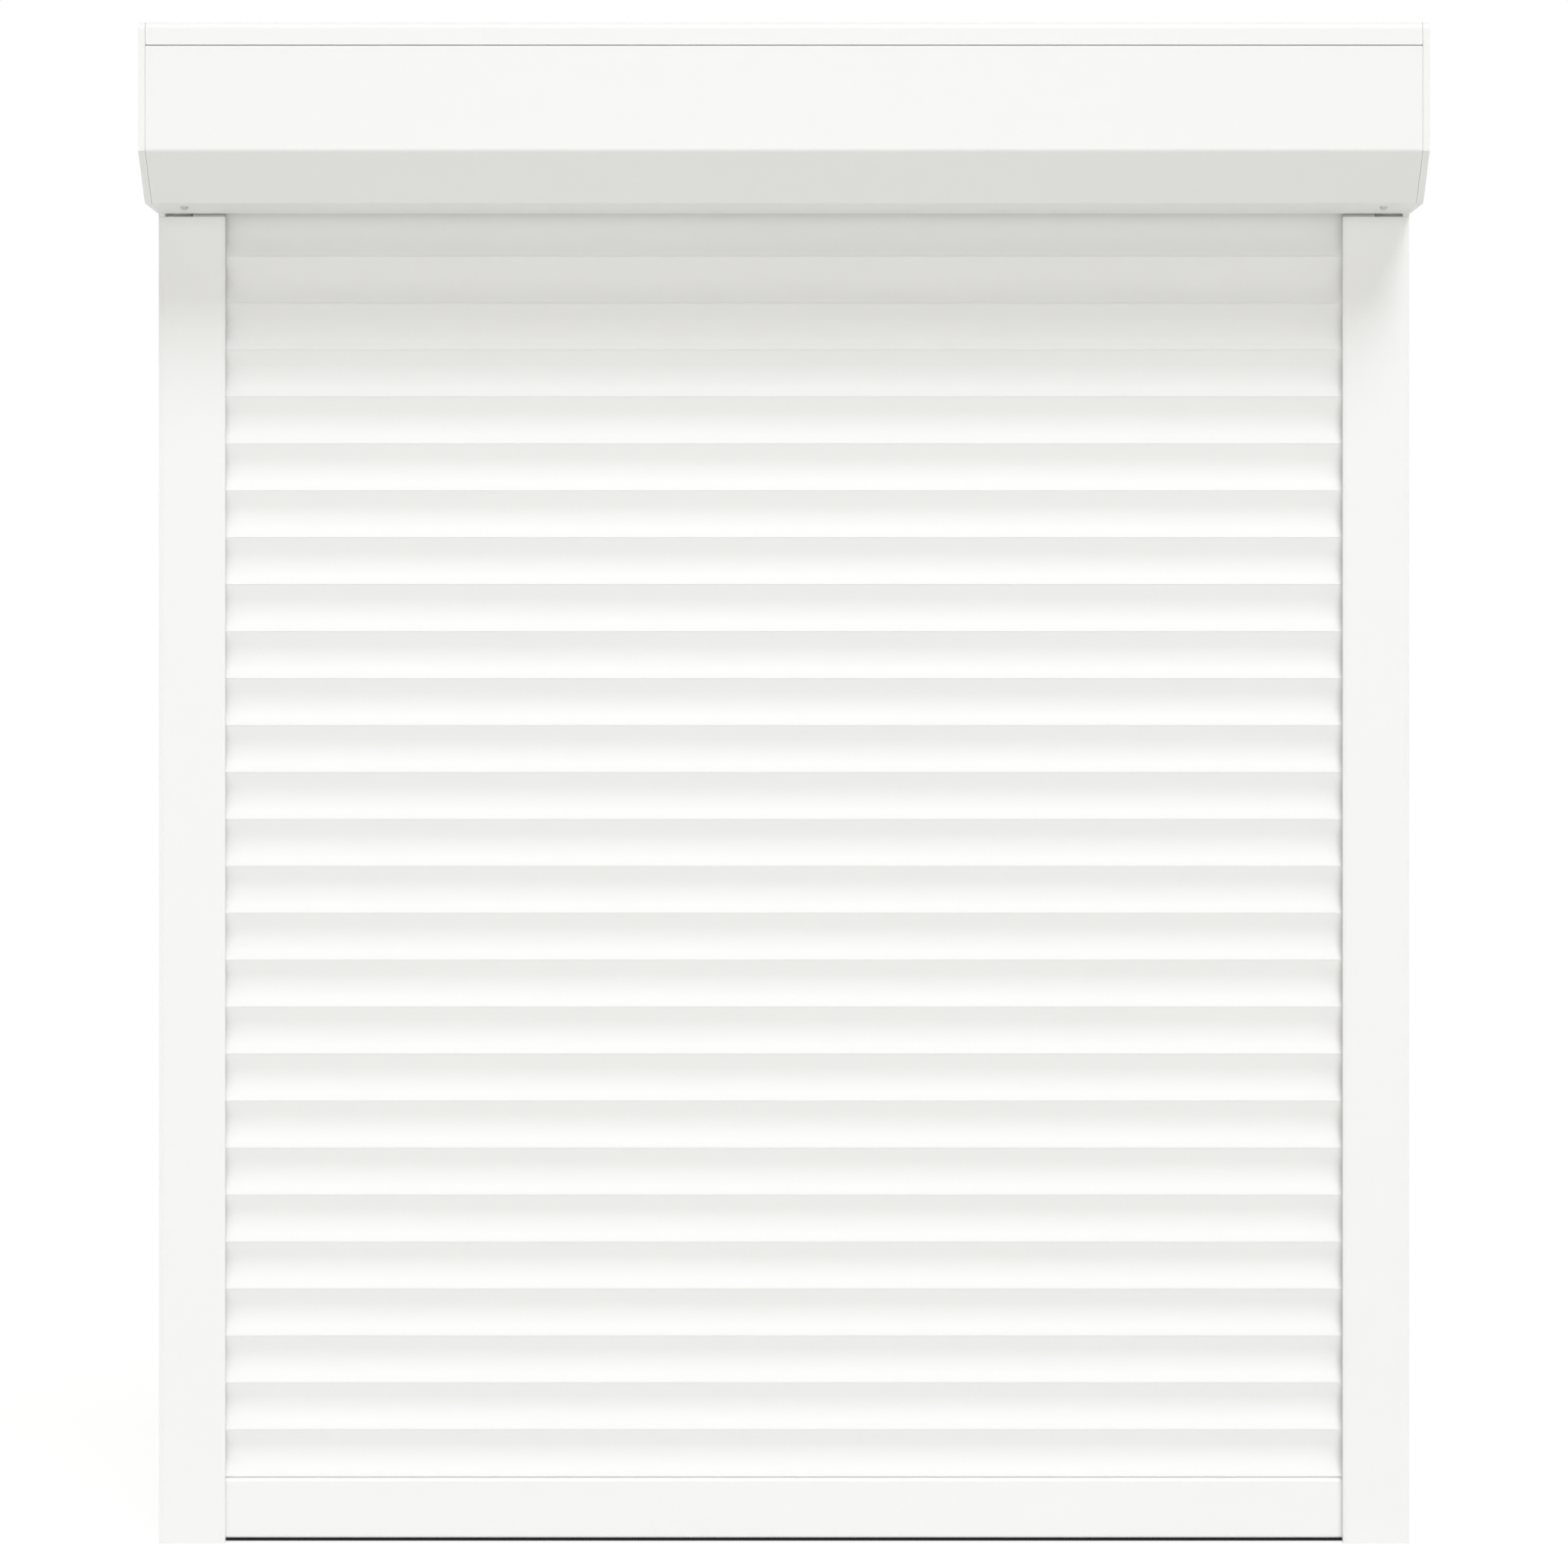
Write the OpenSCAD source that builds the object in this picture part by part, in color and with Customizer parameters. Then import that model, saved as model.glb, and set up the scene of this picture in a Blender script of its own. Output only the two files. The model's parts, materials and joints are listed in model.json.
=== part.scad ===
// Exterior roller shutter, closed, for fixing in a window reveal or on a wall.
// The wall is the plane y = 0, the street is on the -Y side, and the rails stand on z = 0.

/* [Overall] */
// Width over the end caps of the box, which is the width over the guide rails
shutter_w = 1000; // [700:10:1600]
// Height from the foot of the rails to the top of the box
shutter_h = 1200; // [900:10:1260]

/* [Box] */
// Height and depth of the box
box_size = 137; // [130:1:165]
// Leg of the 45 degree bevel on the front lower edge
box_bevel = 37; // [20:1:50]
// Thickness of the box sheet
box_sheet = 1.2; // [0.8:0.1:2]
// Radius of the top front edge
box_edge_r = 6; // [4:0.5:12]
// Height of the fixed strip above the inspection cover
strip_h = 18; // [12:1:30]
// Gap at the seam between the strip and the cover
seam_gap = 0.7; // [0.5:0.1:3]
// Depth of the sheet folded inwards at the seam
seam_fold = 6; // [4:0.5:10]
// Height of the fold at the edge of the curtain's mouth
mouth_fold = 8; // [4:0.5:12]
// Thickness of the end cap's plate
cap_t = 5.3; // [4:0.1:8]
// Depth of the end cap's rim inside the box
rim_d = 12; // [8:1:16]
// Thickness of the end cap's rim
rim_t = 2.5; // [1.5:0.1:4]
// Length of the end cap's leg in the rail's chamber
leg_l = 40; // [20:1:80]
// How far the leg's foot stands back behind the rail's front
foot_back = 10; // [4:0.5:12]
// Distance of the cover screws from the outer face of the end cap
cover_screw_inset = 27.5; // [24:0.5:34]
// Distance of the cover screws from the front of the box
cover_screw_back = 62; // [56:1:80]

/* [Guide rails] */
// Width of a guide rail seen from the front
rail_w = 53; // [48:0.5:70]
// Depth of a guide rail from the wall
rail_d = 22; // [20:0.5:30]
// Wall of a guide rail
rail_wall = 1.4; // [1:0.1:2]
// Depth of the channel that the slats run in
channel_d = 26; // [24:0.5:30]
// Width of the channel's mouth
mouth_w = 11; // [10:0.1:13]
// Depth of the lips that hold the brushes
lip_w = 8; // [7:0.1:10]
// Width of the bead along the rail's inner front edge
bead_w = 3; // [1:0.1:4]
// Drop of that bead
bead_drop = 0.8; // [0.3:0.1:1.5]
// Width of the eased strip along the rail's outer front edge
edge_w = 4; // [2:0.1:6]
// Drop of that strip
edge_drop = 0.3; // [0.2:0.1:0.9]
// Gap between the rails and the box
rail_gap = 2.2; // [1:0.1:5]
// Diameter of the fixing holes in the rail's outer wall
fixing_d = 6.5; // [4:0.1:8]
// Diameter of the access holes for the fixing screws
access_d = 10; // [9:0.5:10.5]
// Height of the lowest fixing hole
fixing_low = 130; // [60:10:200]
// Height of the highest fixing hole
fixing_high = 930; // [700:10:980]
// Distance of the two middle fixing holes from the outer ones
fixing_step = 270; // [100:10:280]

/* [Curtain] */
// Height of one slat in the closed curtain
slat_pitch = 37.6; // [37:0.1:42]
// Depth of a slat over its curve
slat_t = 8.5; // [8:0.1:9]
// Thickness of the slat's hollow body
slat_body_t = 5.3; // [5:0.1:5.6]
// Sheet of the slat's body
slat_wall = 0.75; // [0.6:0.05:0.8]
// Gap that shows between two closed slats
slat_seam = 0.4; // [0.2:0.1:0.8]
// How far a slat reaches into each rail
slat_insert = 20; // [17:0.5:22]
// Thickness of an end lock's plate
lock_t = 3; // [2:0.1:3.5]
// Length of an end lock's peg
lock_peg_l = 15; // [8:1:30]

/* [Slat hook] */
// How far a slat can be pulled off the one below before the hooks catch
hook_play = 1.6; // [1:0.1:2]
// Thickness of the hook's neck
hook_neck = 0.9; // [0.7:0.05:1]
// Width of the hook across its barb
hook_w = 2.2; // [1.8:0.1:2.3]
// Height of the hook's barb
hook_h = 1.2; // [0.8:0.1:1.4]
// Height of the lip that the hook catches on
hook_lip_h = 0.8; // [0.6:0.1:1]
// Clearance all round the hook
hook_clear = 0.3; // [0.2:0.05:0.35]
// Length of a vent slot in the hook's neck
vent_l = 22; // [10:1:30]
// Height of a vent slot
vent_h = 2; // [1:0.1:2.2]
// Pitch of the vent slots
vent_pitch = 36; // [32:1:60]

/* [End bar] */
// Height of the end bar without its seal
bar_h = 49; // [40:1:60]
// Height of the end bar's foot above the sill
bar_foot = 3.5; // [2:0.1:6]
// Wall of the end bar
bar_wall = 1.2; // [1:0.1:1.6]
// Depth of the sloping shoulder on the end bar's top front edge
bar_chamfer = 2; // [0.5:0.1:2]
// Height of that shoulder
shoulder_h = 3.6; // [1:0.1:5]
// Chamfer on the end bar's lower front edge
toe_chamfer = 1; // [0.4:0.1:1.1]
// Width of the seal's lip
seal_w = 6; // [4:0.1:8]
// Gap between the seal and the sill
seal_sill_gap = 0.8; // [0.3:0.1:1.5]

/* [Roller and drive] */
// Octagonal roller tube across its flats
tube_af = 40; // [40:1:50]
// Wall of the roller tube
tube_wall = 1; // [0.6:0.1:1.4]
// Diameter of the tubular motor
motor_d = 35; // [30:0.5:36]
// Length of the tubular motor's casing
motor_l = 412; // [300:1:500]
// Diameter of the motor head
head_d = 44; // [38:1:50]
// Length of the motor head
head_l = 18; // [12:1:25]
// Diameter of the motor's output shaft
shaft_d = 16; // [12:0.5:20]
// Thickness of the motor bracket and the bearing holder
bracket_t = 4; // [3:0.5:6]
// Side of the motor bracket and the bearing holder
bracket_w = 66; // [60:1:72]
// Spacing of the screws of the bracket and of the holder
bracket_screw_s = 50; // [44:1:54]
// Bore of the ball bearing
bearing_bore = 12; // [8:0.5:12]
// Outer diameter of the ball bearing
bearing_od = 28; // [26:0.5:32]
// Width of the ball bearing
bearing_w = 8; // [7:0.5:10]
// Diameter of a bearing ball
ball_d = 4.7; // [4:0.1:5]
// Number of bearing balls
ball_count = 8; // [6:1:9]
// Number of suspension bands
band_count = 3; // [2:1:5]
// Width of a suspension band
band_w = 40; // [20:1:60]
// Thickness of a suspension band
band_t = 0.6; // [0.4:0.1:1]
// Diameter of the cable's way through the grommet
cable_d = 8; // [6:0.5:10]
// Distance of the grommet from the outer face of the right end cap
grommet_inset = 60; // [40:5:250]

/* [Hidden] */
$fn = 48;
// Clearances of pieces that are pressed together, set in place, and free to slide.
fit = 0.05;
set_gap = 0.2;
slide_clear = 0.3;
// How far a cut runs past a face, or a joined piece into its neighbour.
cut = 1;
half_w = shutter_w / 2;
box_z = shutter_h - box_size;
rail_h = box_z - rail_gap;
cap_inner = half_w - cap_t;
sheet_end = cap_inner - set_gap;
mouth_clear = 0.5;
mouth_y = -rail_d - mouth_clear;

// The seam in the box's front, above the foot of the box: the cover hooks in behind the strip.
seam_z = box_size - strip_h - seam_gap;
seam_hook_y = seam_fold - box_size + slide_clear;
seam_hook_z = seam_z + seam_gap + 2 * box_sheet;

// The end cap's rim lies inside the sheets, and its screw holes stop short of the outer face.
rim_in = box_sheet + set_gap;
cap_skin = 1.5;
cover_screw_l = 10;

// The curtain hangs in the middle of the rail's depth.
curtain_y = -rail_d / 2;
slat_len = 2 * (half_w - rail_w + slat_insert);
bar_top = bar_foot + bar_h;
slat_count = ceil((box_z - bar_top) / slat_pitch);
curtain_top = bar_top + slat_count * slat_pitch;

// A slat's body lies between two arcs about one centre in front of the curtain.
slat_z0 = slat_seam / 2;
slat_z1 = slat_pitch - slat_seam / 2;
slat_mid = slat_pitch / 2;
slat_sag = slat_t - slat_body_t;
slat_half = (slat_z1 - slat_z0) / 2;
slat_rf = (slat_half ^ 2 + slat_sag ^ 2) / (2 * slat_sag);
slat_rb = slat_rf + slat_body_t;
slat_cy = slat_t / 2 - slat_rb;

// The hook on a slat's head, and the receiver for it in the foot of the slat above.
lip_top = slat_z0 + hook_lip_h;
hook_under = lip_top + hook_play + hook_clear;
hook_tip = hook_under + hook_h;
receiver_top = hook_tip + hook_clear;
receiver_w = hook_w + 2 * hook_clear;
receiver_y0 = slat_y(slat_rf, receiver_top) + slat_wall;
receiver_y1 = receiver_y0 + receiver_w;
neck_y0 = receiver_y0 + hook_clear;
neck_y1 = neck_y0 + hook_neck;
hook_y1 = neck_y0 + hook_w;
vent_count = floor((slat_len - vent_l) / vent_pitch);

// The pegs of the end locks and of the end bar's plugs are smaller than their hollows by this.
lock_clear = 0.1;

// The end bar's groove and the seal in it.
groove_mouth = 3;
groove_w = 5.2;
groove_h = 1.6;
groove_lip = 1.2;
seal_clear = 0.1;

// The brush strips and their grooves in the lips of the rail.
brush_back_w = 4.6;
brush_back_t = 1.1;
brush_pile_w = 2.8;
brush_lip = 1.2;
brush_clear = 0.1;

// The roller's axis and the pieces along it, from each end cap inwards.
axis_y = -box_size / 2;
axis_z = box_z + box_size / 2;
run_gap = 1;
flange_t = 2;
flange_lip = 1;
head_x = cap_inner - bracket_t - head_l;
tube_x1 = head_x - run_gap - flange_t;
bearing_shoulder = 1.7;
bearing_x0 = cap_inner - bracket_t - bearing_shoulder;
bearing_x1 = bearing_x0 - bearing_w;
collar_l = 3;
tube_x0 = bearing_x1 - collar_l - flange_t;
tube_bore = tube_af - 2 * tube_wall;
motor_x0 = head_x - motor_l;
shaft_seat = 13;
wheel_l = 16;
wheel_gap = 2;
wheel_x1 = motor_x0 - wheel_gap;
wheel_x0 = wheel_x1 - wheel_l;
crown_l = 15;
capsule_l = 40;
spigot_w = 12;
hub_wall = 4;
screw_d = 3.8;
screw_head_d = 7.5;
screw_head_h = 2.3;
ball_r = ball_d / 2;
ball_pitch_r = (bearing_bore + bearing_od) / 4;
race_land = 0.36 * ball_d;
cage_t = 1;
cage_w = 0.75 * ball_d;
band_r = tube_af / 2 / cos(22.5) + slide_clear;
band_start = 120;
clip_wall = 1.2;
clip_h = receiver_top + clip_wall;
slot_w = 3;

// The grommet's neck fills a hole with this many sides in the back of the box.
grommet_x = half_w - grommet_inset;
grommet_d = cable_d + 6;
grommet_flange = 2.5;
grommet_l = 4;
grommet_sides = 12;

// Points of an arc about a centre, from one angle to another.
function arc(c, r, a0, a1, n = 8) =
    [for (i = [0:n]) let (a = a0 + (a1 - a0) * i / n) c + r * [cos(a), sin(a)]];
function unit(v) = v / norm(v);
function left_of(v) = [-v[1], v[0]];
function reversed(p) = [for (i = [len(p) - 1:-1:0]) p[i]];
// A folded line moved to its left by d, with mitred corners.
function beside(p, d) = [
    for (i = [0:len(p) - 1])
        let (
            j = min(i, len(p) - 2),
            k = max(i, 1),
            a = left_of(unit(p[j + 1] - p[j])),
            b = left_of(unit(p[k] - p[k - 1]))
        )
        p[i] + (a + b) * d / (1 + a * b)
];
// The section of a sheet folded along a line, with the sheet on the line's left.
function folded(p, t) = concat(p, reversed(beside(p, t)));

// Depth of one of the slat's arcs at a height, and its points between two heights.
function slat_y(r, z) = slat_cy + sqrt(r ^ 2 - (z - slat_mid) ^ 2);
function slat_arc(r, z0, z1) =
    arc([slat_cy, slat_mid], r, asin((z0 - slat_mid) / r), asin((z1 - slat_mid) / r));
// The slat's curved body between two heights, thinner by d on each face.
function slat_band(d, z0, z1) =
    concat(slat_arc(slat_rf + d, z0, z1), slat_arc(slat_rb - d, z1, z0));
// The hook that stands on a slat or on the end bar, from front to back.
function hook(z) = [
    [neck_y0, z - slat_z0], [neck_y0, z + hook_tip], [hook_y1, z + hook_tip],
    [hook_y1, z + hook_under], [neck_y1, z + hook_under], [neck_y1, z - slat_z0]
];
// The receiver in a slat's foot, from back to front.
receiver = [
    [neck_y1 + hook_clear, slat_z0], [neck_y1 + hook_clear, lip_top], [receiver_y1, lip_top],
    [receiver_y1, receiver_top], [receiver_y0, receiver_top], [receiver_y0, slat_z0]
];

// Outline of the box seen from its end, moved inwards by d.
function box_outline(d) = concat(
    [[-d, d], [-d, box_size - d]],
    arc([box_edge_r - box_size, box_size - box_edge_r], box_edge_r - d, 90, 180),
    [[d - box_size, box_bevel + d * (sqrt(2) - 1)], [box_bevel - box_size + d * (sqrt(2) - 1), d]]
);

slat_names = [for (i = [1:slat_count]) str("slat_", i < 10 ? "0" : "", i)];

// A section in depth and height, drawn out along the width between two places.
module along_x(x0, x1) {
    translate([x0, 0, 0]) rotate([90, 0, 90]) linear_extrude(x1 - x0) children();
}

// The same piece on the right, or mirrored to the left.
module on_side(right) {
    mirror([right ? 0 : 1, 0, 0]) children();
}

// A round bar on the roller's axis between two places.
module axle(d, x0, x1) {
    translate([x0, axis_y, axis_z]) rotate([0, 90, 0]) cylinder(d = d, h = x1 - x0);
}

// An octagonal bar on the roller's axis, by its size across the flats.
module octagon(af, x0, x1) {
    translate([x0, axis_y, axis_z]) rotate([0, 90, 0]) rotate(22.5)
        cylinder(d = af / cos(22.5), h = x1 - x0, $fn = 8);
}

// A shape in the bearing's own section, turned about the roller's axis on the left.
module bearing_turned() {
    translate([-(bearing_x0 + bearing_x1) / 2, axis_y, axis_z]) rotate([0, 90, 0])
        rotate_extrude() children();
}

// The four screw places of the bracket and of the holder.
module at_bracket_screws(x) {
    for (sy = [-1, 1], sz = [-1, 1])
        translate([x, axis_y + sy * bracket_screw_s / 2, axis_z + sz * bracket_screw_s / 2])
            rotate([0, 90, 0]) children();
}

// Back, top and the narrow strip above the seam, folded from one sheet.
module back_shell() {
    fold_y = seam_fold - box_size;
    line = concat(
        [[0, 0], [0, box_size]],
        arc([box_edge_r - box_size, box_size - box_edge_r], box_edge_r, 90, 180),
        [[-box_size, box_size - strip_h], [fold_y, box_size - strip_h]]
    );
    color("white") difference() {
        translate([0, 0, box_z]) along_x(-sheet_end, sheet_end) polygon(folded(line, box_sheet));
        translate([grommet_x, cut, axis_z]) rotate([90, 0, 0])
            cylinder(d = grommet_d + 2 * fit, h = box_sheet + 2 * cut, $fn = grommet_sides);
    }
}

// The cover that comes off to reach the roller: front, bevel and underside.
module front_cover() {
    line = [
        [seam_hook_y, seam_hook_z], [seam_hook_y, seam_z], [-box_size, seam_z],
        [-box_size, box_bevel], [box_bevel - box_size, 0], [mouth_y, 0], [mouth_y, mouth_fold]
    ];
    color("white") difference() {
        translate([0, 0, box_z]) along_x(-sheet_end, sheet_end) polygon(folded(line, box_sheet));
        at_cover_screws() translate([0, 0, -cut])
            cylinder(d = screw_d + 2 * slide_clear, h = box_sheet + 2 * cut);
    }
}

module at_cover_screws() {
    for (s = [-1, 1])
        translate([s * (half_w - cover_screw_inset), cover_screw_back - box_size, box_z])
            children();
}

// A gap in the end cap's rim for a fold between two corners in depth and height, with clearance.
module rim_notch(low, high) {
    size = high - low + 2 * slide_clear * [1, 1];
    translate([cap_inner - rim_d - cut, low[0] - slide_clear, box_z + low[1] - slide_clear])
        cube([rim_d + cut, size[0], size[1]]);
}

// A cast end cap: plate, rim inside the sheets, boss for the cover screw, leg into the rail.
module end_cap() {
    chamber_x0 = half_w - rail_w + channel_d + rail_wall + slide_clear;
    chamber_x1 = half_w - rail_wall - slide_clear;
    leg_y = rail_wall + slide_clear;
    leg_wall = 2.5;
    boss_d = screw_d + 7;
    boss_h = cover_screw_l + 2;
    web_t = 4;
    screw_x = half_w - cover_screw_inset;
    screw_y = cover_screw_back - box_size;
    difference() {
        union() {
            translate([0, 0, box_z]) along_x(cap_inner, half_w) polygon(box_outline(0));
            translate([0, 0, box_z]) along_x(cap_inner - rim_d, cap_inner + cut) difference() {
                polygon(box_outline(rim_in));
                polygon(box_outline(rim_in + rim_t));
            }
            // The boss for the cover screw stands on the underside, and a web joins it to the plate.
            translate([screw_x, screw_y, box_z + rim_in]) cylinder(d = boss_d, h = boss_h);
            translate([screw_x, screw_y - web_t / 2, box_z + rim_in])
                cube([cover_screw_inset - cap_t, web_t, boss_h]);
            // The plate reaches down to the rail's end, and beside it a foot set back from the front
            // carries the hollow leg in the rail's chamber.
            translate([cap_inner, -rail_d, rail_h + set_gap])
                cube([cap_t, rail_d, rail_gap + cut - set_gap]);
            translate([chamber_x0, foot_back - rail_d, rail_h - leg_wall])
                cube([chamber_x1 - chamber_x0, rail_d - foot_back - leg_y,
                    leg_wall + rail_gap + rim_in + rim_t]);
            translate([chamber_x0, leg_y - rail_d, rail_h - leg_l]) difference() {
                w = chamber_x1 - chamber_x0;
                d = rail_d - 2 * leg_y;
                cube([w, d, leg_l - slide_clear]);
                translate([leg_wall, leg_wall, -cut])
                    cube([w - 2 * leg_wall, d - 2 * leg_wall, leg_l + cut - slide_clear - leg_wall]);
            }
        }
        // The rim is notched where the folds at the seam and at the curtain's mouth pass.
        rim_notch([-box_size, seam_z - box_sheet], [seam_hook_y + box_sheet, seam_hook_z]);
        rim_notch([mouth_y - box_sheet, 0], [mouth_y, mouth_fold]);
        translate([screw_x, screw_y, box_z])
            cylinder(d = screw_d + 2 * fit, h = rim_in + cover_screw_l);
        at_bracket_screws(cap_inner - cut)
            cylinder(d = screw_d + 2 * fit, h = cut + cap_t - cap_skin);
    }
}

module left_end_cap() {
    color("white") on_side(false) end_cap();
}

module right_end_cap() {
    color("white") on_side(true) end_cap();
}

module cover_screws() {
    color("silver") at_cover_screws() {
        translate([0, 0, -screw_head_h]) cylinder(d = screw_head_d, h = screw_head_h);
        cylinder(d = screw_d, h = cover_screw_l);
    }
}

// Section of the right rail in plan, from its inner edge outwards.
module rail_section() {
    inner_d = rail_d - 2 * rail_wall;
    groove_x = lip_w / 2;
    difference() {
        polygon([
            [0, 0], [rail_w, 0], [rail_w, edge_drop - rail_d], [rail_w - edge_w, -rail_d],
            [bead_w, -rail_d], [0, bead_drop - rail_d]
        ]);
        translate([channel_d + rail_wall, rail_wall - rail_d])
            square([rail_w - channel_d - 2 * rail_wall, inner_d]);
        translate([lip_w, rail_wall - rail_d]) square([channel_d - lip_w, inner_d]);
        translate([-cut, curtain_y - mouth_w / 2]) square([lip_w + 2 * cut, mouth_w]);
        for (s = [-1, 1]) translate([groove_x, curtain_y]) scale_y(s) {
            translate([-brush_pile_w / 2 - brush_clear, mouth_w / 2 - cut])
                square([brush_pile_w + 2 * brush_clear, cut + brush_lip + brush_clear]);
            translate([-brush_back_w / 2 - brush_clear, mouth_w / 2 + brush_lip])
                square([brush_back_w + 2 * brush_clear, brush_back_t + 2 * brush_clear]);
        }
    }
}

// The same section towards the wall, or mirrored towards the front.
module scale_y(s) {
    mirror([0, s > 0 ? 0 : 1]) children();
}

module guide_rail() {
    difference() {
        translate([half_w - rail_w, 0, 0]) linear_extrude(rail_h) rail_section();
        for (z = [fixing_low, fixing_low + fixing_step, fixing_high - fixing_step, fixing_high]) {
            translate([half_w - rail_wall - cut, curtain_y, z]) rotate([0, 90, 0])
                cylinder(d = fixing_d, h = rail_wall + 2 * cut);
            translate([half_w - rail_w + channel_d - cut, curtain_y, z]) rotate([0, 90, 0])
                cylinder(d = access_d, h = rail_wall + 2 * cut);
        }
    }
}

module left_guide_rail() {
    color("white") on_side(false) guide_rail();
}

module right_guide_rail() {
    color("white") on_side(true) guide_rail();
}

// Two brush strips, whose pile stops just short of the slats.
module rail_brushes() {
    pile_y = slat_t / 2 + slide_clear;
    back_y = mouth_w / 2 + brush_lip + brush_clear;
    foot = 2;
    for (s = [-1, 1])
        translate([half_w - rail_w + lip_w / 2, curtain_y, foot]) linear_extrude(rail_h - foot)
            scale_y(s) {
                translate([-brush_pile_w / 2, pile_y])
                    square([brush_pile_w, back_y - pile_y + brush_back_t / 2]);
                translate([-brush_back_w / 2, back_y]) square([brush_back_w, brush_back_t]);
            }
}

module left_rail_brushes() {
    color("gray") on_side(false) rail_brushes();
}

module right_rail_brushes() {
    color("gray") on_side(true) rail_brushes();
}

// A plastic mouth on the rail's end that leads the slats from the roller into the channel.
module inlet_guide() {
    x0 = half_w - rail_w + slide_clear;
    x1 = half_w - rail_w + channel_d - slide_clear;
    x_leg = half_w - rail_w + lip_w + slide_clear;
    web = 1.4;
    plate_t = rail_gap - set_gap;
    way_clear = 1;
    way = slat_t / 2 + way_clear;
    edge = rail_d / 2 - slide_clear;
    wall_y = rail_d / 2 - rail_wall - slide_clear;
    leg = 25;
    horn_r = 30;
    horn_t = 2.5;
    horn_a = 70;
    horn_c = [-way - horn_r, 0];
    translate([0, curtain_y, rail_h]) {
        difference() {
            translate([x0, -edge, 0]) cube([x1 - x0, 2 * edge, plate_t]);
            translate([x0 - cut, -way, -cut])
                cube([x1 - x0 + cut - web, 2 * way, plate_t + 2 * cut]);
        }
        for (s = [-1, 1]) translate([x_leg, s > 0 ? way : -wall_y, -leg])
            cube([x1 - x_leg, wall_y - way, leg + plate_t]);
        along_x(x0, x1 - web) polygon(concat(
            arc(horn_c, horn_r, 0, horn_a), reversed(arc(horn_c, horn_r - horn_t, 0, horn_a))
        ));
        along_x(x0, x1 - web) polygon([
            [way, 0], [way + horn_t, 0], [way + horn_t, horn_r / 2],
            [way + way_clear, horn_r / 2]
        ]);
    }
}

module left_inlet_guide() {
    color("dimgray") on_side(false) inlet_guide();
}

module right_inlet_guide() {
    color("dimgray") on_side(true) inlet_guide();
}

// The square plate of the bracket and of the holder, with its screw holes.
module bracket_plate() {
    difference() {
        translate([cap_inner - bracket_t, axis_y - bracket_w / 2, axis_z - bracket_w / 2])
            cube([bracket_t, bracket_w, bracket_w]);
        at_bracket_screws(cap_inner - bracket_t - cut)
            cylinder(d = screw_d + 2 * slide_clear, h = bracket_t + 2 * cut);
    }
}

// The bracket holds the square spigot of the motor head against turning.
module motor_bracket() {
    hole = spigot_w + 2 * fit;
    color("silver") difference() {
        bracket_plate();
        translate([cap_inner - bracket_t - cut, axis_y - hole / 2, axis_z - hole / 2])
            cube([bracket_t + 2 * cut, hole, hole]);
    }
}

// The holder carries the ball bearing in a hub.
module bearing_holder() {
    hub_step = 0.5;
    color("silver") on_side(false) difference() {
        union() {
            bracket_plate();
            axle(bearing_od + 2 * hub_wall, bearing_x1 + hub_step, cap_inner - bracket_t + cut);
        }
        axle(bearing_od + 2 * fit, bearing_x1 - cut, bearing_x0);
        axle(bearing_bore + hub_wall, bearing_x1, cap_inner + cut);
    }
}

module bracket_screws() {
    shank = bracket_t + cap_t - cap_skin - slide_clear;
    color("silver") for (right = [true, false]) on_side(right)
        at_bracket_screws(cap_inner - bracket_t - screw_head_h) {
            cylinder(d = screw_head_d, h = screw_head_h);
            cylinder(d = screw_d, h = screw_head_h + shank);
        }
}

module motor_head() {
    color("dimgray") {
        axle(head_d, head_x, cap_inner - bracket_t);
        translate([cap_inner - bracket_t - cut, axis_y - spigot_w / 2, axis_z - spigot_w / 2])
            cube([bracket_t + cut - set_gap, spigot_w, spigot_w]);
    }
}

module motor_casing() {
    color("white") difference() {
        axle(motor_d, motor_x0, head_x);
        axle(shaft_d + 2 * fit, motor_x0 - cut, motor_x0 + shaft_seat + slide_clear);
    }
}

// The output shaft is round in the motor and has two flats in the drive wheel.
module shaft_end(d, x0, x1) {
    flats = 0.75 * shaft_d + d - shaft_d;
    intersection() {
        axle(d, x0, x1);
        translate([x0, axis_y - d, axis_z - flats / 2]) cube([x1 - x0, 2 * d, flats]);
    }
}

module motor_output_shaft() {
    color("silver") {
        axle(shaft_d, motor_x0 - cut, motor_x0 + shaft_seat);
        shaft_end(shaft_d, wheel_x0 - flange_t, motor_x0);
    }
}

// The drive wheel turns the tube by its eight flats.
module drive_wheel() {
    color("black") difference() {
        octagon(tube_bore - 4 * fit, wheel_x0, wheel_x1);
        shaft_end(shaft_d + 2 * fit, wheel_x0 - cut, wheel_x1 + cut);
    }
}

// The crown runs on the motor's casing and carries the tube's right end.
module crown_adapter() {
    color("black") difference() {
        union() {
            octagon(tube_bore - 4 * fit, tube_x1 - crown_l, tube_x1 + flange_t);
            octagon(tube_af + 2 * flange_lip, tube_x1, tube_x1 + flange_t);
        }
        axle(motor_d + 3 * fit, tube_x1 - crown_l - cut, tube_x1 + flange_t + cut);
    }
}

function band_x(i) = slat_len * ((i + 0.5) / band_count - 0.5);

// The tube has a slot for the end of each suspension band.
module roller_tube() {
    color("lightgray") difference() {
        octagon(tube_af, -tube_x0, tube_x1);
        octagon(tube_bore, -tube_x0 - cut, tube_x1 + cut);
        for (i = [0:band_count - 1])
            translate([band_x(i), axis_y, axis_z]) rotate([band_start - 90, 0, 0])
                translate([-band_w / 2 - cut, -slot_w / 2, tube_bore / 2 - slot_w])
                    cube([band_w + 2 * cut, slot_w, 4 * slot_w]);
    }
}

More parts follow.
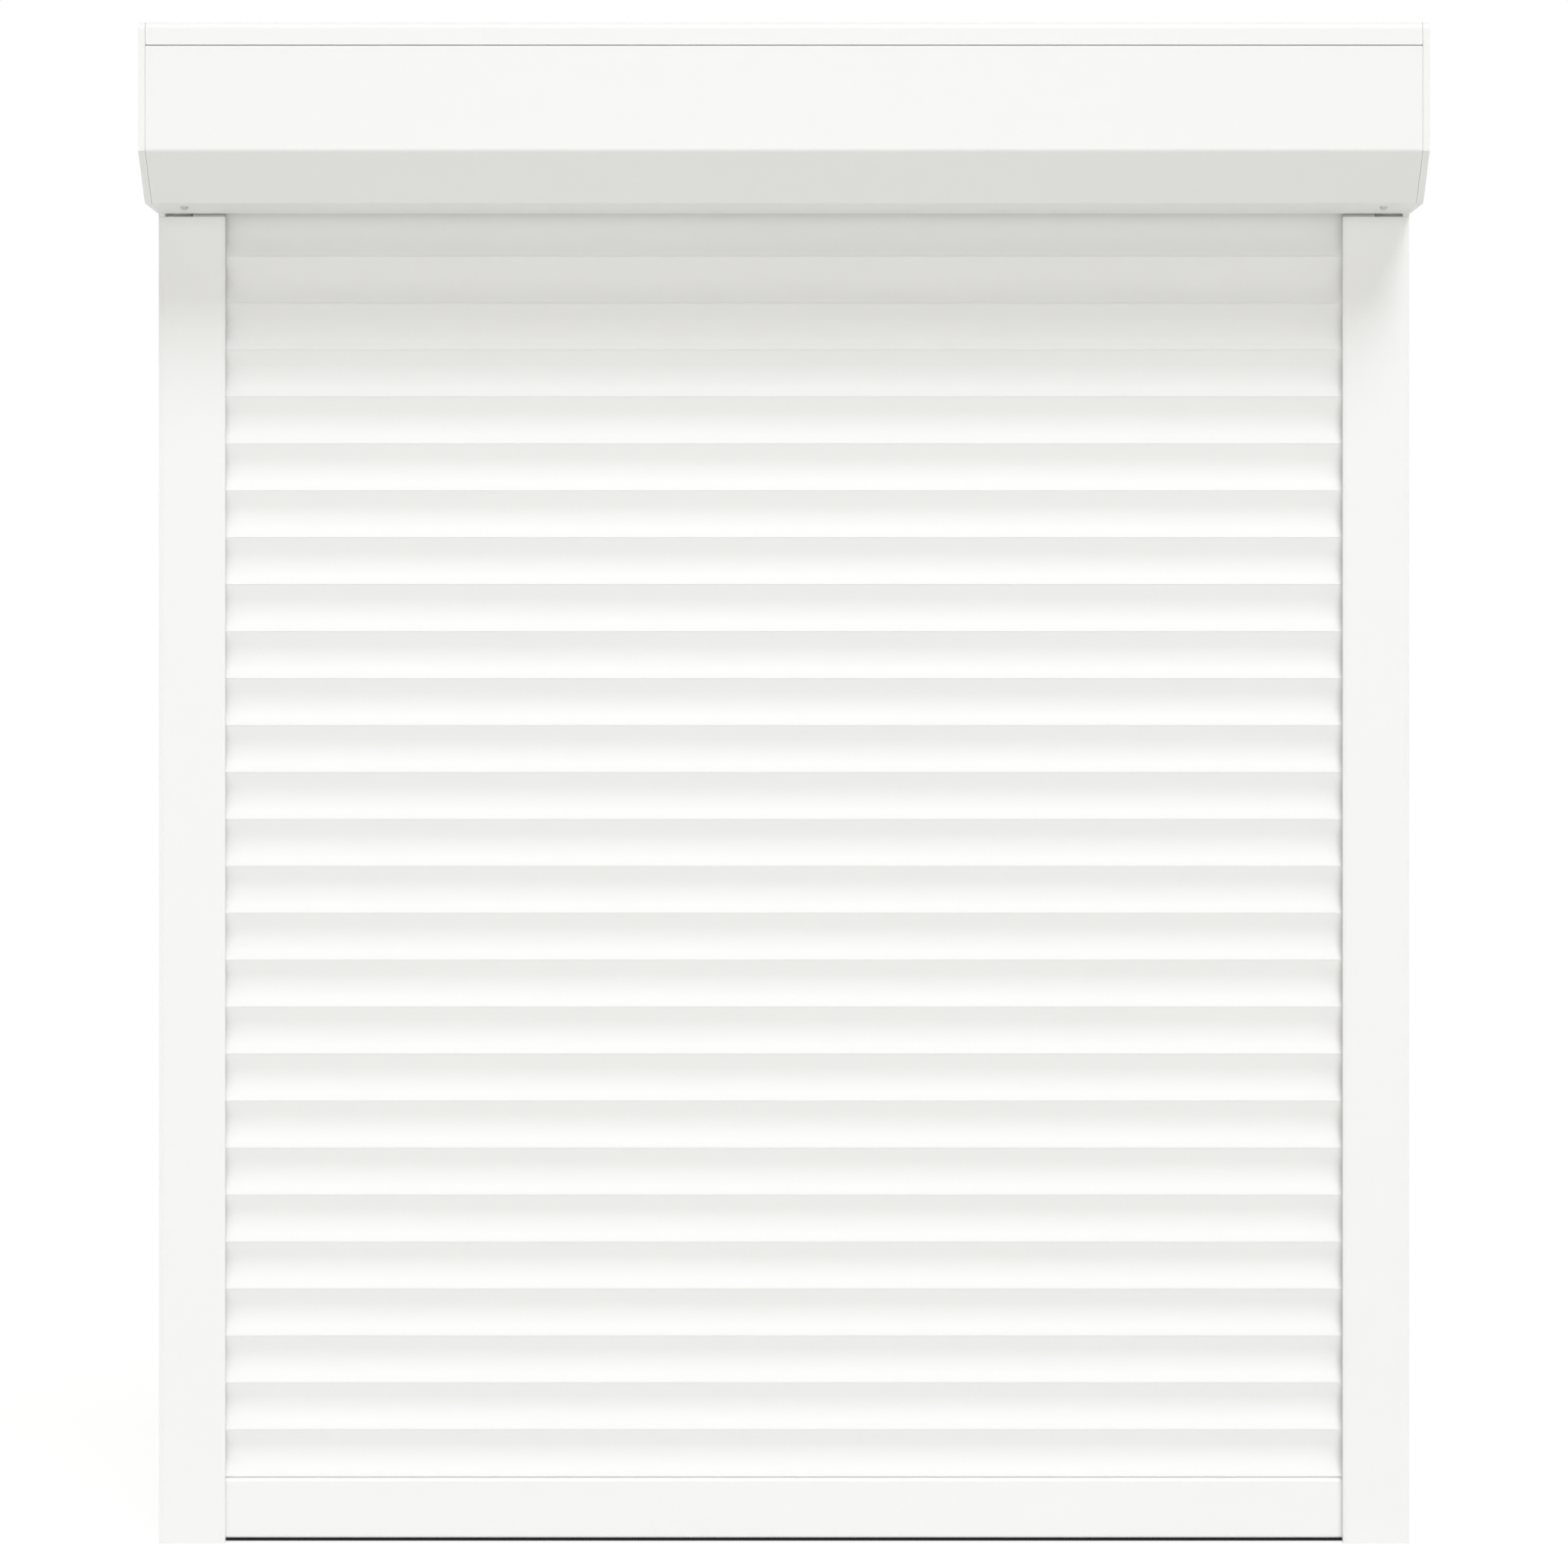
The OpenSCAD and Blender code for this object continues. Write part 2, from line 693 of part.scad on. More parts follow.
module tube_capsule() {
    color("black") difference() {
        union() {
            octagon(tube_bore - 4 * fit, -tube_x0 - flange_t, capsule_l - tube_x0);
            octagon(tube_af + 2 * flange_lip, -tube_x0 - flange_t, -tube_x0);
        }
        axle(bearing_bore + 2 * fit, -tube_x0 - flange_t - cut, capsule_l - tube_x0 + cut);
    }
}

module capsule_pin() {
    color("silver") {
        axle(bearing_bore, -bearing_x0, capsule_l - tube_x0);
        axle(bearing_bore + collar_l, -bearing_x1 + slide_clear, -tube_x0 - flange_t);
    }
}

// One ring of the bearing between two radii, with the groove that the balls run in.
module bearing_ring(r0, r1) {
    bearing_turned() difference() {
        translate([r0, -bearing_w / 2]) square([r1 - r0, bearing_w]);
        translate([ball_pitch_r, 0]) circle(r = ball_r + fit);
    }
}

module bearing_inner_ring() {
    color("silver") bearing_ring(bearing_bore / 2 + fit, ball_pitch_r - race_land);
}

module bearing_outer_ring() {
    color("silver") bearing_ring(ball_pitch_r + race_land, bearing_od / 2);
}

// The balls, held apart by the ring of their cage.
module bearing_balls() {
    color("silver") {
        bearing_turned() translate([ball_pitch_r - cage_t / 2, -cage_w / 2])
            square([cage_t, cage_w]);
        for (i = [0:ball_count - 1])
            translate([-(bearing_x0 + bearing_x1) / 2, axis_y, axis_z])
                rotate([i * 360 / ball_count, 0, 0]) translate([0, 0, ball_pitch_r])
                    sphere(r = ball_r);
    }
}

// Spring steel bands: one end is folded into the tube's slot, and the other carries a clip with a
// receiver like a slat's foot, which hangs on the hook of the top slat.
module suspension_bands() {
    clip_y0 = receiver_y0 - slat_wall;
    clip_y1 = receiver_y1 + slat_wall;
    seat = [curtain_y + (clip_y0 + clip_y1) / 2, curtain_top + clip_h - clip_wall / 2];
    centre = [axis_y, axis_z];
    away = seat - centre;
    leave = atan2(away[1], away[0]) + acos(band_r / norm(away));
    fold = centre + (tube_bore / 2 - tube_wall) * [cos(band_start), sin(band_start)];
    line = concat([fold], arc(centre, band_r, band_start, leave), [seat]);
    color("slategray") for (i = [0:band_count - 1])
        along_x(band_x(i) - band_w / 2, band_x(i) + band_w / 2) {
            polygon(folded(line, band_t));
            translate([curtain_y, curtain_top]) polygon(concat(
                [[clip_y0, slat_z0], [clip_y0, clip_h], [clip_y1, clip_h], [clip_y1, slat_z0]],
                receiver
            ));
        }
}

module cable_grommet() {
    color("black") translate([grommet_x, 0, axis_z]) rotate([90, 0, 0]) difference() {
        union() {
            translate([0, 0, set_gap])
                cylinder(d = grommet_d * cos(180 / grommet_sides), h = grommet_l - set_gap);
            translate([0, 0, box_sheet])
                cylinder(d = grommet_d + 2 * grommet_flange, h = grommet_l - box_sheet);
        }
        translate([0, 0, -cut]) cylinder(d = cable_d, h = grommet_l + 2 * cut);
    }
}

// The end bar: a hollow section with the same hook, and a groove for the seal.
module end_bar() {
    front = -slat_t / 2;
    back = slat_t / 2;
    head = bar_top - slat_z0;
    color("white") along_x(-slat_len / 2, slat_len / 2) translate([curtain_y, 0]) difference() {
        polygon(concat(
            [
                [front + toe_chamfer, bar_foot], [front, bar_foot + toe_chamfer],
                [front, head - shoulder_h], [front + bar_chamfer, head]
            ],
            hook(bar_top), [[back, head], [back, bar_foot]]
        ));
        bar_hollow(0);
        translate([-groove_mouth / 2, bar_foot - cut])
            square([groove_mouth, groove_lip + 2 * cut]);
        translate([-groove_w / 2, bar_foot + groove_lip]) square([groove_w, groove_h]);
    }
}

// The chamber inside the end bar, smaller by d on each side.
module bar_hollow(d) {
    z0 = bar_foot + groove_lip + groove_h + bar_wall + d;
    w = slat_t - 2 * bar_wall - 2 * d;
    translate([-w / 2, z0]) square([w, bar_top - shoulder_h - bar_wall - d - z0]);
}

// The seal: a bead in the groove, a neck through its mouth and a rounded lip under the bar.
module end_bar_seal() {
    neck = groove_mouth - 2 * fit;
    bead = groove_w - 4 * seal_clear;
    lip_r = seal_w / 2;
    lip_z = bar_foot - seal_clear;
    lip_steps = 8;
    color("black") along_x(-slat_len / 2, slat_len / 2) translate([curtain_y, 0]) {
        translate([-bead / 2, bar_foot + groove_lip + seal_clear])
            square([bead, groove_h - 2 * seal_clear]);
        translate([-neck / 2, lip_z - groove_h / 2]) square([neck, groove_lip + groove_h]);
        polygon([
            for (i = [0:lip_steps]) let (a = 180 + 180 * i / lip_steps)
                [lip_r * cos(a), lip_z + (lip_z - seal_sill_gap) * sin(a)]
        ]);
    }
}

module end_bar_plugs() {
    edge = 0.5;
    color("dimgray") for (right = [true, false]) on_side(right) translate([0, curtain_y, 0]) {
        along_x(slat_len / 2 + fit, slat_len / 2 + lock_t)
            translate([edge - slat_t / 2, bar_foot + edge])
                square([slat_t - 2 * edge, bar_h - shoulder_h - 2 * edge]);
        along_x(slat_len / 2 - lock_peg_l, slat_len / 2 + lock_t) bar_hollow(lock_clear);
    }
}

// One slat: a hollow curved body with the hook on its head and the receiver in its foot.
module slat(i) {
    color("white") translate([0, curtain_y, bar_top + (i - 1) * slat_pitch]) {
        difference() {
            along_x(-slat_len / 2, slat_len / 2) difference() {
                polygon(concat(
                    slat_arc(slat_rf, slat_z0, slat_z1), hook(slat_pitch),
                    slat_arc(slat_rb, slat_z1, slat_z0), receiver
                ));
                polygon(slat_band(slat_wall, receiver_top + slat_wall, slat_z1 - slat_wall));
            }
            for (k = [0:vent_count - 1])
                translate([(k + 0.5 - vent_count / 2) * vent_pitch, neck_y0, slat_pitch + set_gap])
                    translate([-vent_l / 2, -cut, 0]) cube([vent_l, hook_neck + 2 * cut, vent_h]);
        }
        if (i % 2 == 0) for (right = [true, false]) on_side(right) end_lock();
    }
}

// An end lock, pegged into the end of every second slat, keeps the curtain from wandering.
module end_lock() {
    peg = slat_wall + lock_clear;
    along_x(slat_len / 2 + fit, slat_len / 2 + lock_t)
        polygon(slat_band(slide_clear, receiver_top, slat_z1 - slat_wall));
    along_x(slat_len / 2 - lock_peg_l, slat_len / 2 + lock_t)
        polygon(slat_band(peg, receiver_top + peg, slat_z1 - peg));
}

back_shell();
front_cover();
left_end_cap();
right_end_cap();
cover_screws();
left_guide_rail();
right_guide_rail();
left_rail_brushes();
right_rail_brushes();
left_inlet_guide();
right_inlet_guide();
motor_bracket();
bearing_holder();
bracket_screws();
motor_head();
motor_casing();
motor_output_shaft();
drive_wheel();
crown_adapter();
roller_tube();
tube_capsule();
capsule_pin();
bearing_inner_ring();
bearing_outer_ring();
bearing_balls();
suspension_bands();
cable_grommet();
end_bar();
end_bar_seal();
end_bar_plugs();
for (i = [1:slat_count])
    slat(i);
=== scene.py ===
# %% [markdown]
# # A white roller shutter
# An exterior roller shutter closes a window with a curtain of hooked metal slats. A bevelled box
# above the window hides the roller, two rails guide the slats, and an end bar with a rubber seal
# meets the sill. The measured solids come in as a fixed frame, which stays where it lies. This
# lesson gives them their finish, and makes finer pieces where a plain solid would look too hard.

# %% Load the measured frame
import json
import math
import random

import bmesh
import bpy
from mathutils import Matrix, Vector
from mathutils.geometry import tessellate_polygon

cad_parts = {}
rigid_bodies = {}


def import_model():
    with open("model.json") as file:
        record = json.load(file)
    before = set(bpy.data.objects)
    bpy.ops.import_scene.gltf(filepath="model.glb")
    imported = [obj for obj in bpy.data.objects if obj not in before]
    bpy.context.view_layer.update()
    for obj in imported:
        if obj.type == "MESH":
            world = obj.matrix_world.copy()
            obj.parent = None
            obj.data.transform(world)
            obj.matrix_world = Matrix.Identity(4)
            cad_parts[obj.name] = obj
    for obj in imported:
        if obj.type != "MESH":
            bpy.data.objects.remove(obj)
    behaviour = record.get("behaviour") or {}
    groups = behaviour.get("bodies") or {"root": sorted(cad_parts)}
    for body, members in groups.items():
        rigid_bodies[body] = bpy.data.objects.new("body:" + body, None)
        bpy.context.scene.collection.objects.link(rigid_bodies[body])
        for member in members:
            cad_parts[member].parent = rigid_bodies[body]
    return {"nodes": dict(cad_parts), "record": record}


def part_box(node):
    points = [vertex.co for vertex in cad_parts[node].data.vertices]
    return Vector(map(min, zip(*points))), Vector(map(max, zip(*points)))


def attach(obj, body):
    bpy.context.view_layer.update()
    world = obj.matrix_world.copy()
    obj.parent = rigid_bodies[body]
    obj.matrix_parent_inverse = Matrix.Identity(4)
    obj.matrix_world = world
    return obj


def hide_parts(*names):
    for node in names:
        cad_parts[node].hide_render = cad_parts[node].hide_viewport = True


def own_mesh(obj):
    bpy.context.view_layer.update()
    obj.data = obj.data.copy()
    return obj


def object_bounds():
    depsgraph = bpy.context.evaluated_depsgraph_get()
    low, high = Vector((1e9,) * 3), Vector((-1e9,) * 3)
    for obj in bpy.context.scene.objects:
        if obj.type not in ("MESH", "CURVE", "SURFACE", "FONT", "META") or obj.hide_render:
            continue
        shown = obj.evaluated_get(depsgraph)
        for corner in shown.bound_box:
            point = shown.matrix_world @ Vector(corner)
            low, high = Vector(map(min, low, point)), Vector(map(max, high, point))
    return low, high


MM = 0.001

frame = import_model()
solids = frame["nodes"]
cad_low, cad_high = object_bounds()
print("solids:", len(solids), "size in mm:", [round(v / MM, 1) for v in cad_high - cad_low])

# %% [markdown]
# ## The camera
# The photograph is taken square to the wall with a long lens: the rails stay upright, and the box
# grows by only three per cent towards the viewer. A camera could be tilted to frame the shutter,
# but the rails would then lean together. A level camera with a little lens shift keeps them
# parallel.

# %% Set up a level camera with a long lens
PHOTO_PX = 1600
FOCAL_PX = 4628
HORIZON_PX = 704
SENSOR_MM = 36.0
CAMERA_BACK = 3.648
CAMERA_HEIGHT = 0.6825


def photo_camera():
    data = bpy.data.cameras.new("photo_camera")
    data.sensor_width = SENSOR_MM
    data.lens = SENSOR_MM * FOCAL_PX / PHOTO_PX
    data.shift_y = (HORIZON_PX - PHOTO_PX / 2) / PHOTO_PX
    camera = bpy.data.objects.new("photo_camera", data)
    camera.location = (0, -CAMERA_BACK, CAMERA_HEIGHT)
    camera.rotation_euler = (math.radians(90), 0, 0)
    bpy.context.scene.collection.objects.link(camera)
    bpy.context.scene.camera = camera
    return camera


camera = photo_camera()
print("lens in mm:", round(camera.data.lens, 1), "shift:", round(camera.data.shift_y, 3))

# %% [markdown]
# ## Shader maths as Python
# Node trees are hard to read as lists of links. Here one small class wraps an output socket, so
# that a sum or a product of two wires adds the Math node it needs, and one method adds any other
# node from its type, its settings and the values of its sockets.

# %% Wrap sockets and add nodes


class Wire:
    """An output socket. Sums, differences and products of wires become Math nodes."""

    def __init__(self, tree, socket):
        self.tree = tree
        self.socket = socket

    def also(self, name):
        """Another output of the same node."""
        return Wire(self.tree, self.socket.node.outputs[name])

    def math(self, operation, first, second):
        return self.tree.add("ShaderNodeMath", {"operation": operation}, {0: first, 1: second})

    def __add__(self, other):
        return self.math("ADD", self, other)

    def __radd__(self, other):
        return self.math("ADD", other, self)

    def __sub__(self, other):
        return self.math("SUBTRACT", self, other)

    def __rsub__(self, other):
        return self.math("SUBTRACT", other, self)

    def __mul__(self, other):
        return self.math("MULTIPLY", self, other)

    def __rmul__(self, other):
        return self.math("MULTIPLY", other, self)

    def __or__(self, other):
        return self.math("MAXIMUM", self, other)


class Tree:
    """The empty node tree of a material or of the world, ready to be filled."""

    def __init__(self, owner):
        owner.use_nodes = True
        self.nodes = owner.node_tree.nodes
        self.links = owner.node_tree.links
        self.nodes.clear()

    def add(self, kind, settings=None, sockets=None, out=0):
        node = self.nodes.new(kind)
        for name, value in (settings or {}).items():
            setattr(node, name, value)
        for name, value in (sockets or {}).items():
            if isinstance(value, Wire):
                self.links.new(value.socket, node.inputs[name])
            else:
                node.inputs[name].default_value = value
        return Wire(self, node.outputs[out]) if node.outputs else None

    def mix_colour(self, share, first, second):
        """A colour between two others: the Mix node's colour sockets are its seventh and eighth."""
        return self.add("ShaderNodeMix", {"data_type": "RGBA"}, {0: share, 6: first, 7: second}, out=2)


def grey(level, warmth=0.0):
    """A grey as red, green, blue and alpha, a little yellow where warmth is above zero."""
    return (level, level, level * (1 - warmth), 1.0)


print("socket class ready")

# %% [markdown]
# ## Studio light
# The photograph is a high-key studio picture. Soft light comes from all round. One large lamp,
# high in front and a little to the right, gives each hollow slat its fade from grey to white and
# lays the box's soft shadow over the top of the curtain, and a weak fill lamp near eye level
# opens that shadow. Pure white behind the object would take far too much light, so the world and
# the floor show white to the camera alone and light the shutter at a plain level. The
# photograph's shadows are a little warmer than its lights, so the world's light is too. A third
# lamp behind shapes the side of the room. It is kept out of reflections, because its glare on the
# top of the box would burn out when seen from the front and above.

# %% Light the studio
AMBIENT_LEVEL = 0.53
AMBIENT_TINT = (1.0, 0.985, 0.955)
LAMP_DISTANCE = 8.0
KEY_STRENGTH = 1.33
KEY_TINT = (0.98, 0.992, 1.035)
KEY_SOFTNESS = math.radians(24)
KEY_AZIMUTH = math.radians(15)
KEY_ELEVATION = math.radians(51)
BACK_STRENGTH = 0.8
BACK_AZIMUTH = math.radians(205)
BACK_ELEVATION = math.radians(20)
FILL_WATTS = 100.0
FILL_ELEVATION = math.radians(3)
FILL_SIZE = 3.0
FLOOR_HALF = 30.0
FLOOR_DROP = 0.0002
FLOOR_GREY = 0.68
FLOOR_WARMTH = 0.045
FLOOR_ROUGH = 0.9
FLOOR_WHITE_SHARE = 0.72
FLOOR_WHITE = 1.16


def seen_rays(tree):
    """One for rays that end in the picture: straight from the camera, or by a reflection."""
    straight = tree.add("ShaderNodeLightPath", out="Is Camera Ray")
    return straight | straight.also("Is Glossy Ray") | straight.also("Is Transmission Ray")


def white_world():
    world = bpy.data.worlds.new("white_studio")
    tree = Tree(world)
    soft_light = {"Color": (*AMBIENT_TINT, 1.0), "Strength": AMBIENT_LEVEL}
    soft = tree.add("ShaderNodeBackground", {}, soft_light)
    white = tree.add("ShaderNodeBackground", {}, {"Color": grey(1), "Strength": 1.0})
    both = tree.add("ShaderNodeMixShader", {}, {0: seen_rays(tree), 1: soft, 2: white})
    tree.add("ShaderNodeOutputWorld", {}, {"Surface": both})
    bpy.context.scene.world = world


def set_lamp(data, strength, azimuth, elevation):
    """Puts a lamp before the shutter, turned to the right and raised, facing its middle."""
    data.energy = strength
    flat = math.cos(elevation)
    towards = Vector((math.sin(azimuth) * flat, -math.cos(azimuth) * flat, math.sin(elevation)))
    lamp = bpy.data.objects.new(data.name, data)
    lamp.location = (cad_low + cad_high) / 2 + towards * LAMP_DISTANCE
    lamp.rotation_euler = towards.to_track_quat("Z", "Y").to_euler()
    bpy.context.scene.collection.objects.link(lamp)
    return lamp


def even_lamp(name, strength, azimuth, elevation):
    """A soft lamp so large and far away that its light is even over the whole shutter."""
    data = bpy.data.lights.new(name, "SUN")
    data.color = KEY_TINT
    data.angle = KEY_SOFTNESS
    return set_lamp(data, strength, azimuth, elevation)


def fill_lamp():
    data = bpy.data.lights.new("fill_lamp", "AREA")
    data.shape = "DISK"
    data.size = FILL_SIZE
    set_lamp(data, FILL_WATTS, 0.0, FILL_ELEVATION)


def pale_floor():
    material = bpy.data.materials.new("pale_floor")
    tree = Tree(material)
    tint = grey(FLOOR_GREY, FLOOR_WARMTH)
    pale = tree.add("ShaderNodeBsdfPrincipled", {}, {"Base Color": tint, "Roughness": FLOOR_ROUGH})
    white = tree.add("ShaderNodeEmission", {}, {"Color": grey(1), "Strength": FLOOR_WHITE})
    share = FLOOR_WHITE_SHARE * seen_rays(tree)
    both = tree.add("ShaderNodeMixShader", {}, {0: share, 1: pale, 2: white})
    tree.add("ShaderNodeOutputMaterial", {}, {"Surface": both})
    mesh = bpy.data.meshes.new("pale_floor")
    edge = FLOOR_HALF
    low = cad_low.z - FLOOR_DROP
    corners = [(-edge, -edge, low), (edge, -edge, low), (edge, edge, low), (-edge, edge, low)]
    mesh.from_pydata(corners, [], [(0, 1, 2, 3)])
    mesh.materials.append(material)
    floor = bpy.data.objects.new("pale_floor", mesh)
    bpy.context.scene.collection.objects.link(floor)


bpy.context.scene.view_settings.view_transform = "Standard"
white_world()
even_lamp("key_lamp", KEY_STRENGTH, KEY_AZIMUTH, KEY_ELEVATION)
back_lamp = even_lamp("back_lamp", BACK_STRENGTH, BACK_AZIMUTH, BACK_ELEVATION)
back_lamp.visible_glossy = False
fill_lamp()
pale_floor()
print("lamps: key", KEY_STRENGTH, "back", BACK_STRENGTH, "fill in watts", FILL_WATTS)

# %% [markdown]
# ## White coats
# Box, caps and rails are powder coated: the powder flows out in the oven into a satin skin with a
# faint orange peel, a couple of millimetres from crest to crest. The slats are rolled from strip
# that was enamelled first, so their skin is flatter, keeps fine lines along the strip, and is
# duller, which keeps their lit feet from burning out. Both are the same white, so the difference
# lies in the bump and the shine.

# %% Mix the white coats
WHITE_LEVEL = 0.90
WHITE_DRIFT = 0.008
WHITE_WARMTH = 0.008
CLOUD_SCALE = 7.0
LINE_SCALE = 900.0
LINE_SHARE = 0.4
SATIN = 0.36
DULL = 0.55
SHINE_DRIFT = 0.14
ALONG_X = (0.02, 1, 1)
ALONG_Z = (1, 1, 0.02)


def new_finish(name):
    """A material's empty tree, and the place of each point in the object's own frame."""
    material = bpy.data.materials.new(name)
    tree = Tree(material)
    return material, tree, tree.add("ShaderNodeTexCoord", out="Object")


def noise(tree, place, scale, detail=2.0, stretch=(1, 1, 1)):
    """Soft noise, with so many waves to the metre, drawn out along an axis where stretch is small."""
    drawn = tree.add("ShaderNodeMapping", {}, {"Vector": place, "Scale": stretch})
    return tree.add("ShaderNodeTexNoise", {}, {"Vector": drawn, "Scale": scale, "Detail": detail})


def close_finish(tree, colour, rough, height, depth, **constants):
    """The shader at the end of a finish: its colour, its roughness and a bump of some depth."""
    bump = tree.add("ShaderNodeBump", {}, {"Strength": 1.0, "Distance": depth, "Height": height})
    sockets = {"Base Color": colour, "Roughness": rough, "Normal": bump}
    sockets.update({name.replace("_", " "): value for name, value in constants.items()})
    shader = tree.add("ShaderNodeBsdfPrincipled", {}, sockets)
    tree.add("ShaderNodeOutputMaterial", {}, {"Surface": shader})


def white_coat(name, peel_scale, peel_depth, lines=None, rough=SATIN):
    """A white coat with an orange peel, and with faint lines along the way that the metal was drawn."""
    material, tree, place = new_finish(name)
    peel = noise(tree, place, peel_scale)
    cloud = noise(tree, place, CLOUD_SCALE)
    height = peel
    if lines:
        height = (1 - LINE_SHARE) * peel + LINE_SHARE * noise(tree, place, LINE_SCALE, 1.0, lines)
    low = grey(WHITE_LEVEL - WHITE_DRIFT, WHITE_WARMTH)
    high = grey(WHITE_LEVEL + WHITE_DRIFT, WHITE_WARMTH)
    colour = tree.mix_colour(cloud, low, high)
    close_finish(tree, colour, rough + SHINE_DRIFT * cloud, height, peel_depth)
    return material


finishes = {
    "box_white": white_coat("box_white", 420.0, 12e-6),
    "cap_white": white_coat("cap_white", 360.0, 16e-6),
    "rail_white": white_coat("rail_white", 420.0, 12e-6, ALONG_Z),
    "slat_white": white_coat("slat_white", 500.0, 6e-6, ALONG_X, rough=DULL),
    "bar_white": white_coat("bar_white", 420.0, 10e-6, ALONG_X),
}
print("white coats:", sorted(finishes))

# %% [markdown]
# ## Rubber, plastics and metals
# The dark and bright pieces are small or hidden, but each has its own skin: the seal is matte
# rubber with a bloom of wax, the moulded plastics have a fine spark-eroded grain, zinc is brushed
# and a little cloudy, and the bearing and the screws are bright steel with turning marks.

# %% Mix rubber, plastics and metals
MOULD_CLOUD_SCALE = 40.0
MOULD_DRIFT = 0.16
METAL_CLOUD_SCALE = 60.0
METAL_LINE_SCALE = 1500.0
METAL_DRIFT = 0.2
METAL_GRAIN = 4e-6
ROUND_X = (1, 0.02, 0.02)


def moulded(name, low, high, rough, grain_scale, grain_depth, shine=0.5):
    """A moulded skin whose tone drifts between two greys, with a fine even grain."""
    material, tree, place = new_finish(name)
    grain = noise(tree, place, grain_scale)
    drift = noise(tree, place, MOULD_CLOUD_SCALE, 3.0)
    colour = tree.mix_colour(drift, grey(low), grey(high))
    rough_drift = rough - MOULD_DRIFT / 2 + MOULD_DRIFT * drift
    close_finish(tree, colour, rough_drift, grain, grain_depth, Specular_IOR_Level=shine)
    return material


def bare_metal(name, low, high, rough, lines):
    """Metal with brush or turning lines along one axis and a cloudy tone."""
    material, tree, place = new_finish(name)
    brushed = noise(tree, place, METAL_LINE_SCALE, 2.0, lines)
    drift = noise(tree, place, METAL_CLOUD_SCALE, 3.0)
    colour = tree.mix_colour(drift, grey(low), grey(high))
    close_finish(tree, colour, rough + METAL_DRIFT * brushed, brushed, METAL_GRAIN, Metallic=1.0)
    return material


finishes["black_rubber"] = moulded("black_rubber", 0.006, 0.010, 0.66, 900.0, 12e-6, shine=0.12)
finishes["dark_plastic"] = moulded("dark_plastic", 0.10, 0.13, 0.5, 1400.0, 8e-6)
finishes["grey_plastic"] = moulded("grey_plastic", 0.46, 0.52, 0.55, 1400.0, 8e-6)
finishes["black_plastic"] = moulded("black_plastic", 0.035, 0.05, 0.45, 1400.0, 8e-6)
finishes["brush_grey"] = moulded("brush_grey", 0.30, 0.42, 0.85, 2500.0, 20e-6)
finishes["motor_paint"] = moulded("motor_paint", 0.76, 0.80, 0.38, 600.0, 8e-6)
finishes["zinc_steel"] = bare_metal("zinc_steel", 0.58, 0.68, 0.28, ALONG_X)
finishes["screw_steel"] = bare_metal("screw_steel", 0.52, 0.60, 0.42, ALONG_X)
finishes["bright_steel"] = bare_metal("bright_steel", 0.68, 0.76, 0.18, ROUND_X)
print("finishes:", len(finishes))

# %% [markdown]
# ## Eased edges on the solids
# No real edge is a perfect knife edge: sheet has a deburred rim, castings and extrusions a small
# radius, and these catch the light. A Bevel modifier eases the sharp edges of a solid without
# touching its mesh. The solid arrives as loose triangles, so a Weld joins them and a planar
# Decimate clears the flat faces first. A second Weld closes slivers where eased edges meet, and
# Weighted Normal keeps the flats flat in the shading.

# %% Give each solid its finish and ease its edges
EASED_ANGLE = math.radians(28)
EASED_SEGMENTS = 2
FLAT_ANGLE = math.radians(0.6)
WELD_REACH = 0.005 * MM


def even_shading(piece):
    shade = piece.modifiers.new("even_shading", "WEIGHTED_NORMAL")
    shade.keep_sharp = True


def ease(solid, width):
    solid.modifiers.new("weld", "WELD").merge_threshold = WELD_REACH
    flats = solid.modifiers.new("clear_flats", "DECIMATE")
    flats.decimate_type = "DISSOLVE"
    flats.angle_limit = FLAT_ANGLE
    bevel = solid.modifiers.new("eased_edges", "BEVEL")
    bevel.width = width
    bevel.segments = EASED_SEGMENTS
    bevel.limit_method = "ANGLE"
    bevel.angle_limit = EASED_ANGLE
    bevel.harden_normals = True
    solid.modifiers.new("clear_slivers", "WELD").merge_threshold = WELD_REACH
    even_shading(solid)


slot_of = {row["node"]: row["material_slot"] for row in frame["record"]["subparts"]}
for name, solid in solids.items():
    solid.data.materials.clear()
    solid.data.materials.append(finishes[slot_of[name]])

eased_by = {
    "back_shell": 0.25,
    "left_end_cap": 0.5,
    "right_end_cap": 0.5,
    "left_guide_rail": 0.3,
    "right_guide_rail": 0.3,
    "end_bar": 0.25,
    "end_bar_plugs": 0.3,
    "left_inlet_guide": 0.3,
    "right_inlet_guide": 0.3,
    "motor_bracket": 0.4,
    "bearing_holder": 0.4,
    "motor_head": 0.6,
    "motor_casing": 0.5,
    "motor_output_shaft": 0.4,
    "drive_wheel": 0.4,
    "crown_adapter": 0.4,
    "tube_capsule": 0.4,
    "capsule_pin": 0.4,
    "roller_tube": 0.2,
    "bearing_inner_ring": 0.2,
    "bearing_outer_ring": 0.2,
}
for name, width in eased_by.items():
    ease(solids[name], width * MM)
print("dressed solids:", len(solids), "with eased edges:", len(eased_by))

# %% [markdown]
# ## Drawing sections and pulling them out
# Most of a shutter is drawn metal or plastic: one section, pulled out to length. A curve with a
# bevel object could do that, but a mesh made from the section gives real end faces, hollows and
# slots. The helpers here collect points in millimetres, round the corners of a section, pull it
# out or turn it, and make a piece of it that rides on its body and stands for its solid.

# %% Helpers for sections and pieces
SHARP_ANGLE = math.radians(38)
EASE_STEPS = 3


